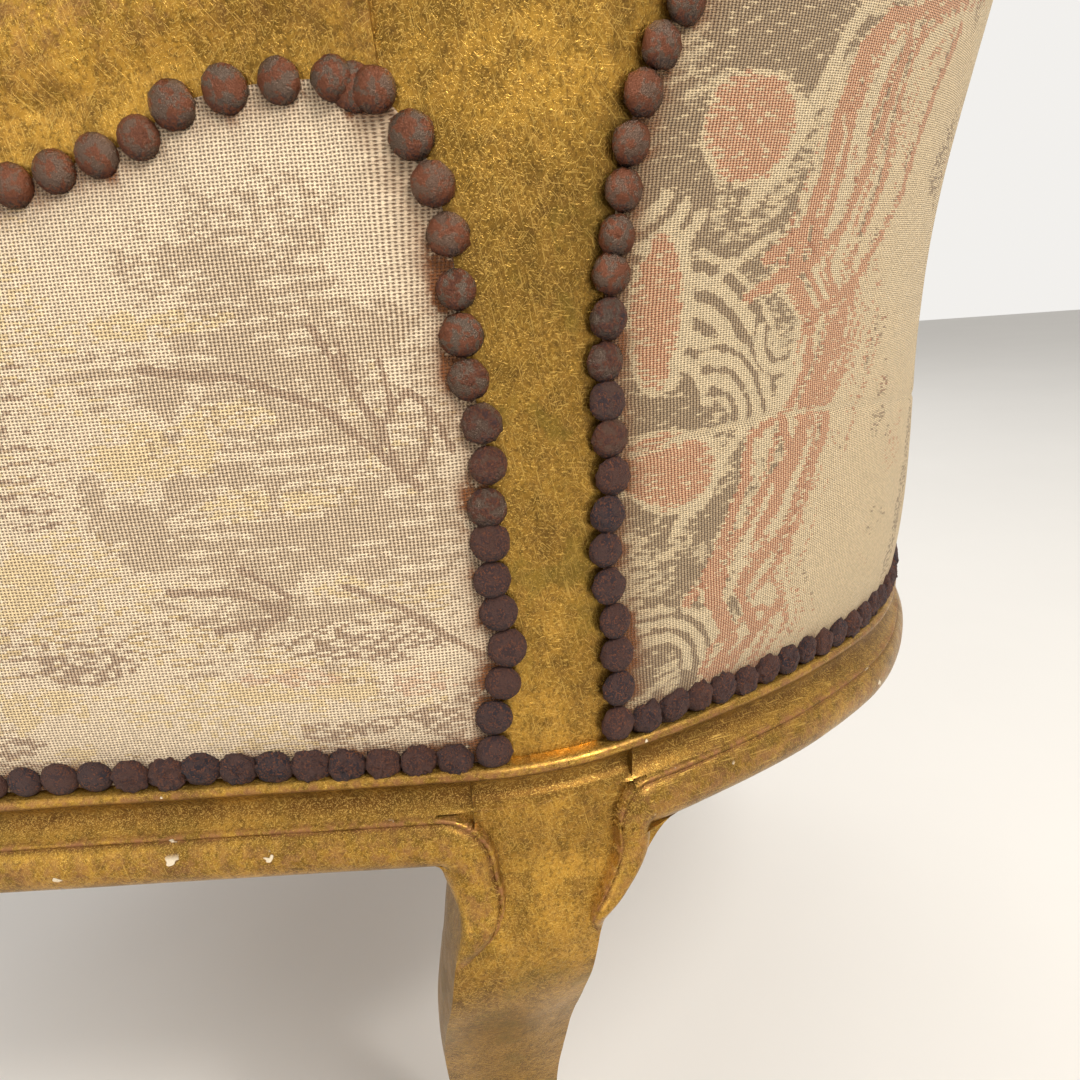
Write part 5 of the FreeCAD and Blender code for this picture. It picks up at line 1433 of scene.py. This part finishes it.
def nail_row(name, spots, lay_on, lift, rings=3, around=10, mirror=1, seed=1, sign=1, rough=0.0):
    """One mesh of nails standing on a surface; lay_on gives places, its differences give each nail's axes."""
    chance = np.random.default_rng(seed)
    s, z = np.asarray(spots, float).T
    lift = np.broadcast_to(np.asarray(lift, float), s.shape)
    centre = lay_on(s, lift * sign, z) * 1000
    along_s = lay_on(s + 1, lift * sign, z) * 1000 - centre
    along_z = lay_on(s, lift * sign, z + 1) * 1000 - centre
    outward = lay_on(s, (lift + 2) * sign, z) * 1000 - centre
    out = np.cross(along_s, along_z)
    out = unit(out * np.sign((out * outward).sum(axis=1, keepdims=True)))
    out = unit(out + chance.normal(0, 0.07, out.shape))
    first = unit(along_s)
    first = unit(first - out * (first * out).sum(axis=1, keepdims=True))
    second = np.cross(out, first)
    verts, quads, tris = dome(rings, around)
    turn = chance.random(len(s)) * 2 * np.pi
    a = first * np.cos(turn)[:, None] + second * np.sin(turn)[:, None]
    b = second * np.cos(turn)[:, None] - first * np.sin(turn)[:, None]
    size = NAIL_WIDTH / 2
    wide = (size * (1 + chance.normal(0, 0.03, len(s))))[:, None, None]
    tall = (size * (1 + chance.normal(0, 0.07, len(s))))[:, None, None]
    local = np.broadcast_to(verts, (len(s),) + verts.shape).copy()
    if rough:
        local = local * (1 + chance.normal(0, rough, local.shape[:2])[..., None])
    across = a[:, None] * (local[..., :1] * wide) + b[:, None] * (local[..., 1:2] * wide)
    placed = centre[:, None] + across + out[:, None] * (local[..., 2:] * tall)
    shift = (np.arange(len(s)) * len(verts))[:, None, None]
    faces = (quads[None] + shift).reshape(-1, 4).tolist() + (tris[None] + shift).reshape(-1, 3).tolist()
    mesh = smooth_mesh(name, placed.reshape(-1, 3) / 1000 * [mirror, 1, 1], faces)
    # How far each point lies below its nail's centre: the mask for the crust and painted shade on the lower half.
    under = np.clip((centre[:, None, 2] - placed[..., 2]) / size, 0, 1).reshape(-1)
    rust = np.clip(step_up(430 - z, -60, 110) + chance.normal(0, 0.12, len(s)), 0, 1)
    rust_and_tint = np.repeat(np.stack([rust, chance.random(len(s))], axis=-1), len(verts), axis=0)
    add_paint(mesh, "WearAndShade", np.column_stack([rust_and_tint, under]))
    made = linked(name, mesh)
    merged(mesh, 1e-6, outwards=True)
    mesh.materials.append(iron)
    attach(made, "chair")


# %% [markdown]
# The rows near the camera get more rings and a rough outline, because they are seen large; the ones that are
# mirrored or far away are simpler. Inside the back a row holds the inner cloth along the crest and the posts.

# %% The outside rows
close_side = np.vstack([side_column, side_arch, [(378.8, 493)]])
far_side = np.vstack([side_arch[-1:], arm_row, front_column])
far_spots = resample(smoothed(far_side, 1), step=12.2)[1:]
bottom_run = np.arange(373.5, cover_front - 8, 11.6)
side_bottom = np.stack([bottom_run, np.full(len(bottom_run), NAIL_LINE + 0.3)], axis=1)
side_bottom[:, 1] += rng.normal(0, 0.5, len(side_bottom)) - 2.2 * (1 - step_up(bottom_run, 372, 440))
near_bottom = side_bottom[side_bottom[:, 0] < 480]
rest_bottom = side_bottom[side_bottom[:, 0] >= 480]
close_lift = np.concatenate([np.full(len(side_column) + len(side_arch), 2.2), [0.9]])
nail_row("nails_arm_right_rear", close_side, on_side_face, close_lift, 8, 22, seed=21, rough=0.03)
nail_row("nails_arm_right_low", near_bottom, on_side_face, 2.0, 8, 22, seed=22, rough=0.07)
nail_row("nails_arm_right", np.vstack([far_spots, rest_bottom]), on_side_face, 2.0, 5, 16, seed=23)
left_spots = np.vstack([close_side[:-1], far_spots, side_bottom])
nail_row("nails_arm_left", left_spots, on_side_face, 2.0, mirror=-1, seed=24)
back_run = np.arange(309, -310, -10.9)
back_low = np.stack([back_run, np.full(len(back_run), NAIL_LINE + 0.6)], axis=1)
back_low[:, 1] += rng.normal(0, 0.5, len(back_low))
upper_spots = resample(smoothed(half_back[len(back_column) - 1:], 1), step=12.3)[1:]
mirrored_spots = np.vstack([back_column, upper_spots]) * [-1, 1]
nail_row("nails_back_right", back_column, on_line, 2.2, 8, 22, seed=31, rough=0.035)
nail_row("nails_back_low_right", back_low[back_low[:, 0] > 80], on_line, 2.2, 8, 20, seed=32, rough=0.075)
rest_back = np.vstack([upper_spots, mirrored_spots[:-1], back_low[back_low[:, 0] <= 80]])
nail_row("nails_back", rest_back, on_line, 2.0, seed=33)
inner_top = np.linspace(-0.985 * POST_REAR, 0.985 * POST_REAR, 62)
inner_row = np.stack([inner_top, crest_top(inner_top) - CREST_HEIGHT + 6], axis=1)
inner_post = np.stack([np.full(24, POST_REAR + 6.0), np.linspace(520, 792, 24)], axis=1)
inner_spots = np.vstack([inner_row, inner_post, inner_post * [-1, 1]])
nail_row("nails_inside_back", inner_spots, on_line, POST_DEPTH, seed=41, sign=-1)

# %% [markdown]
# The stuffed parts are cloth over horsehair. Each starts as a copy of its solid and is rebuilt with small even
# faces; the back pad and the cushion are then blown up a little by a cloth simulation with pressure and no
# gravity, which pulls creases from the corners as real filling does. How far a point may move is capped, so the
# pad keeps its place.

# %% Stuffing a form
def remeshed(name, source, size, shrink=0.0, rounds=3):
    """A copy of a solid with even faces, drawn in along its normals and smoothed."""
    mesh = source.data.copy()
    mesh.materials.clear()
    merged(mesh, 1e-5)
    made = linked(name, mesh)
    cut = made.modifiers.new("even", "REMESH")
    cut.mode = "VOXEL"
    cut.voxel_size = size
    cut.use_smooth_shade = True
    settle(made)
    work = bmesh.new()
    work.from_mesh(made.data)
    for _ in range(rounds):
        bmesh.ops.smooth_vert(work, verts=work.verts, factor=0.5, use_axis_x=True, use_axis_y=True, use_axis_z=True)
    if shrink:
        work.normal_update()
        for vert in work.verts:
            vert.co -= vert.normal * shrink
    work.to_mesh(made.data)
    work.free()
    return made


def settle(made):
    """Applies every modifier of an object to its mesh."""
    seen = made.evaluated_get(bpy.context.evaluated_depsgraph_get())
    mesh = bpy.data.meshes.new_from_object(seen)
    made.modifiers.clear()
    made.data = mesh


def places(made):
    """An object's points, one row each."""
    got = np.empty(len(made.data.vertices) * 3)
    made.data.vertices.foreach_get("co", got)
    return got.reshape(-1, 3)


def put(made, points):
    """Moves an object's points to new places."""
    made.data.vertices.foreach_set("co", points.ravel())
    made.data.update()


# %% Filling by pressure
def stuffed_out(made, pressure, cap, frames=20):
    """Blows the form up: Cloth with pressure and no gravity; no point moves further than the cap, in metres."""
    before = places(made)
    cloth = made.modifiers.new("filling", "CLOTH")
    for setting, value in (("use_pressure", True), ("uniform_pressure_force", pressure), ("quality", 5),
                           ("mass", 0.3), ("tension_stiffness", 12), ("compression_stiffness", 12),
                           ("bending_stiffness", 0.4)):
        setattr(cloth.settings, setting, value)
    cloth.settings.effector_weights.gravity = 0
    cloth.point_cache.frame_start, cloth.point_cache.frame_end = 1, frames
    for frame_number in range(1, frames + 1):
        bpy.context.scene.frame_set(frame_number)
    settle(made)
    bpy.context.scene.frame_set(1)
    moved = places(made) - before
    length = np.linalg.norm(moved, axis=1, keepdims=True) + 1e-9
    put(made, before + moved / length * np.minimum(length, cap))
    print(made.name, "filled, moved up to", round(float((length * 1000).max()), 1), "mm before the cap")


# %% [markdown]
# A stuffed form has no natural map, so each piece says how its cloth was laid: round the tub, along the side
# or flat from above. The dyes are painted by that map.

# %% Dressing a form
def dressed(made, cloth, uv_of, dye_of, body="chair"):
    """Gives a stuffed form its cloth: the map in metres, the dyes, the material, and what it rides on."""
    mesh = made.data
    mesh.polygons.foreach_set("use_smooth", np.ones(len(mesh.polygons), bool))
    spots = places(made) * 1000
    normals = np.empty(len(mesh.vertices) * 3)
    mesh.vertices.foreach_get("normal", normals)
    u, v = uv_of(spots, normals.reshape(-1, 3))
    add_map(mesh, np.stack([u, v], axis=-1) / 1000)
    add_paint(mesh, "Dye", np.clip(dye_of(u, v), 0, 1))
    add_paint(mesh, "WearAndShade", np.zeros((len(u), 3)))
    mesh.materials.append(cloth)
    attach(made, body)
    return made


def tub_place(spots, normals):
    """Distance round the back's leaning arc and height, for cloth on the inside of the back."""
    x, y = spots[:, 0], spots[:, 1] - PLAN_SHIFT - lean(spots[:, 2])
    return np.arctan2(x, y) * BACK_RADIUS, spots[:, 2]


def side_place(spots, normals):
    """Distance along the straight side and height."""
    x, y = np.abs(spots[:, 0]) - side_start[0], spots[:, 1] - PLAN_SHIFT - side_start[1]
    along_run = x * side_run[0] + y * side_run[1]
    return along_run, spots[:, 2]


def top_place(spots, normals):
    """Cloth laid flat from above, as on the deck and the elbow rests."""
    return spots[:, 0], spots[:, 1]


def inside_dye(u, v):
    """The seat's cloth, with its flowers at the height of a sitter's back."""
    return seat_dye(u, v - 600)


# %% [markdown]
# The pads keep the places of their solids. The elbow rests are small, so their voxels are smaller too, and the
# arm pads stay as they are rebuilt, because they are thin and pulled tight.

# %% Inside back and arm pads
back_pad = remeshed("back_pad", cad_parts["inside_back_pad"], 0.006, 0.0012)
stuffed_out(back_pad, 3.0, 0.006)
dressed(back_pad, seat_cloth, tub_place, inside_dye)
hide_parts("inside_back_pad")
for side, word in ((1, "right"), (-1, "left")):
    pad = remeshed(f"arm_pad_{word}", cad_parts[f"inside_arm_pad_{word}"], 0.004, 0.0008)
    dressed(pad, seat_cloth, side_place, inside_dye)
    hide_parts(f"inside_arm_pad_{word}")
    elbow = remeshed(f"elbow_rest_{word}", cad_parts[f"elbow_pad_{word}"], 0.0022, 0.0004, 2)
    dressed(elbow, seat_cloth, top_place, seat_dye)
    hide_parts(f"elbow_pad_{word}")

# %% [markdown]
# The fixed deck under the cushion is covered with the same cloth, laid flat.

# %% Seat deck
deck = remeshed("deck_pad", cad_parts["seat_deck"], 0.005, 0.0006)
dressed(deck, seat_cloth, top_place, seat_dye)
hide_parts("seat_deck")


# %% [markdown]
# The loose cushion is the softest piece, so it is filled hardest and may swell most. It rides on its own body.

# %% Loose cushion
cushion = remeshed("cushion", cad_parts["seat_cushion"], 0.006, 0.002, 4)
stuffed_out(cushion, 4.0, 0.012)


def cushion_place(spots, normals):
    """Top and bottom lie flat; the border is measured round the cushion's middle and by height."""
    middle_y, mean_radius = -80, 250
    around = np.arctan2(spots[:, 0], -(spots[:, 1] - middle_y)) * mean_radius
    flat = np.abs(normals[:, 2]) > 0.6
    return np.where(flat, spots[:, 0], around), np.where(flat, spots[:, 1] - middle_y, spots[:, 2])


dressed(cushion, seat_cloth, cushion_place, seat_dye, "cushion")
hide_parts("seat_cushion")
print("stuffed pieces made")

# %% [markdown]
# Under the seat: jute webbing in two crossing layers and hessian stretched over it. Both are seen from below.
# Every thread could be modelled, but the weave group already draws threads, so the solids are only cut into a
# grid and made a little uneven.

# %% Webbing and hessian
def jute(name, light, dark, across, along):
    """Coarse plain weave with dust in it; across and along are threads per metre."""
    made, tree, shader = new_material(name)
    place = object_place(tree)
    threads = weave_of(tree, place, across, along, 0.0012)
    dust = ramp(tree, noise(tree, place, 12, 4, 0.6), 0.45, 0.7, (0.0, 0.4))
    colour = glazed(tree, light, (
        (threads.outputs["Uneven"], dark),
        # Painted shade in the gaps between the threads.
        (times(tree, threads.outputs["Gaps"], 0.7), rgb(48, 36, 22)),
        (dust, rgb(112, 98, 80))))
    link(tree, colour, shader.inputs["Base Color"])
    shader.inputs["Roughness"].default_value = 0.9
    bump(tree, shader, threads.outputs["Height"], 0.0008, 0.8)
    return made


hessian_cloth = jute("hessian", rgb(176, 142, 96), rgb(150, 116, 74), 620, 620)
webbing_cloth = jute("webbing", rgb(186, 154, 108), rgb(146, 110, 66), 380, 520)


# %% Unevenness of flat layers
def cut_up(name, node_name, spacing, sag):
    """A copy of a flat solid cut by a grid of planes, so that it can be given a slow unevenness."""
    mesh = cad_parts[node_name].data.copy()
    mesh.materials.clear()
    work = bmesh.new()
    work.from_mesh(mesh)
    bmesh.ops.remove_doubles(work, verts=work.verts, dist=1e-6)
    low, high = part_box(node_name)
    for axis in (0, 1):
        normal = Vector([float(axis == k) for k in range(3)])
        for at in np.arange(low[axis] + spacing, high[axis] - spacing / 2, spacing):
            everything = work.verts[:] + work.edges[:] + work.faces[:]
            bmesh.ops.bisect_plane(work, geom=everything, plane_co=normal * float(at), plane_no=normal, dist=1e-7)
    work.to_mesh(mesh)
    work.free()
    made = linked(name, mesh)
    spots = places(made)
    dip = sag * (layered_noise(spots[:, 0] * 1000, spots[:, 1] * 1000, 60, 401) - 0.5)
    put(made, spots + np.stack([0 * dip, 0 * dip, dip], axis=-1))
    return made


hessian = cut_up("hessian_sheet", "seat_hessian", 0.02, 0.0004)
hessian.data.materials.append(hessian_cloth)
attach(hessian, "chair")
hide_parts("seat_hessian")
straps = cut_up("webbing_straps", "seat_webbing", 0.019, 0.0004)
straps.data.materials.append(webbing_cloth)
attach(straps, "chair")
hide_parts("seat_webbing")

# %% [markdown]
# The camera is the photograph's: close behind the right rear corner, looking down, rolled a little. It was
# found by matching the places of nails. Nothing in the light is strong enough to clip the ivory.

# %% Camera
eye = bpy.data.cameras.new("view")
eye.lens = 27.891
eye.sensor_width = 36.0
eye.clip_start = 0.01
camera = bpy.data.objects.new("camera", eye)
bpy.context.scene.collection.objects.link(camera)
right, up = Vector((-0.12673663, 0.98899037, -0.07639292)), Vector((-0.29656052, 0.0357134, 0.95434607))
ahead = Vector((-0.94656732, -0.14360573, -0.2887693))
camera.matrix_world = Matrix((right, up, -ahead)).transposed().to_4x4()
camera.location = (0.51926, 0.1439, 0.44157)
bpy.context.scene.camera = camera
bpy.context.scene.view_settings.view_transform = "Standard"


# %% [markdown]
# Four soft lamps: the key, a cooler fill from the front, a small one that puts a spark on nails and gilding,
# and a low one that opens the shade under the rail.

# %% Lights
def soft_light(name, place, target, size, power, colour):
    """A disc-shaped lamp that looks at a target."""
    lamp = bpy.data.lights.new(name, "AREA")
    lamp.shape = "DISK"
    lamp.size = size
    lamp.energy = power
    lamp.color = colour
    made = bpy.data.objects.new(name, lamp)
    made.location = place
    made.rotation_euler = (Vector(target) - Vector(place)).to_track_quat("-Z", "Y").to_euler()
    bpy.context.scene.collection.objects.link(made)


soft_light("key", (1.6, 1.4, 2.4), (0, 0, 0.4), 1.6, 62, (1.0, 0.97, 0.92))
soft_light("fill", (-2.4, -1.2, 1.8), (0, 0, 0.4), 2.2, 34, (0.95, 0.97, 1.0))
soft_light("spark", (1.1, 1.25, 1.7), (0.25, 0.1, 0.4), 0.22, 11, (1.0, 0.96, 0.9))
soft_light("low", (1.8, -1.8, 0.7), (0, 0, 0.4), 1.8, 16, (1.0, 0.98, 0.95))
world = bpy.data.worlds.new("studio")
bpy.context.scene.world = world
world.use_nodes = True
tree = world.node_tree
tree.nodes.clear()
sky = node(tree, "ShaderNodeBackground")
sky.inputs["Color"].default_value = (1.0, 0.98, 0.95, 1)
rays = node(tree, "ShaderNodeLightPath")
shown = maths(tree, "MAXIMUM", rays.outputs["Is Camera Ray"], maths(tree, "MAXIMUM", rays.outputs["Is Glossy Ray"],
                                                                 rays.outputs["Is Transmission Ray"]))
link(tree, scaled(tree, shown, 0.34, 0.55), sky.inputs["Strength"])
world_out = node(tree, "ShaderNodeOutputWorld")
link(tree, sky.outputs["Background"], world_out.inputs["Surface"])

# %% [markdown]
# A plain pale floor, part of the stage and not of the chair.

# %% Floor
corners = np.array([(-6.0, -6, 0), (6, -6, 0), (6, 6, 0), (-6, 6, 0)])
floor = linked("floor", smooth_mesh("floor", corners, [(0, 1, 2, 3)]))
pale, tree, shader = new_material("pale_floor")
speck = noise(tree, object_place(tree), 3, 4, 0.6)
link(tree, mix(tree, speck, rgb(226, 223, 218), rgb(232, 229, 224)), shader.inputs["Base Color"])
shader.inputs["Roughness"].default_value = 0.75
floor.data.materials.append(pale)
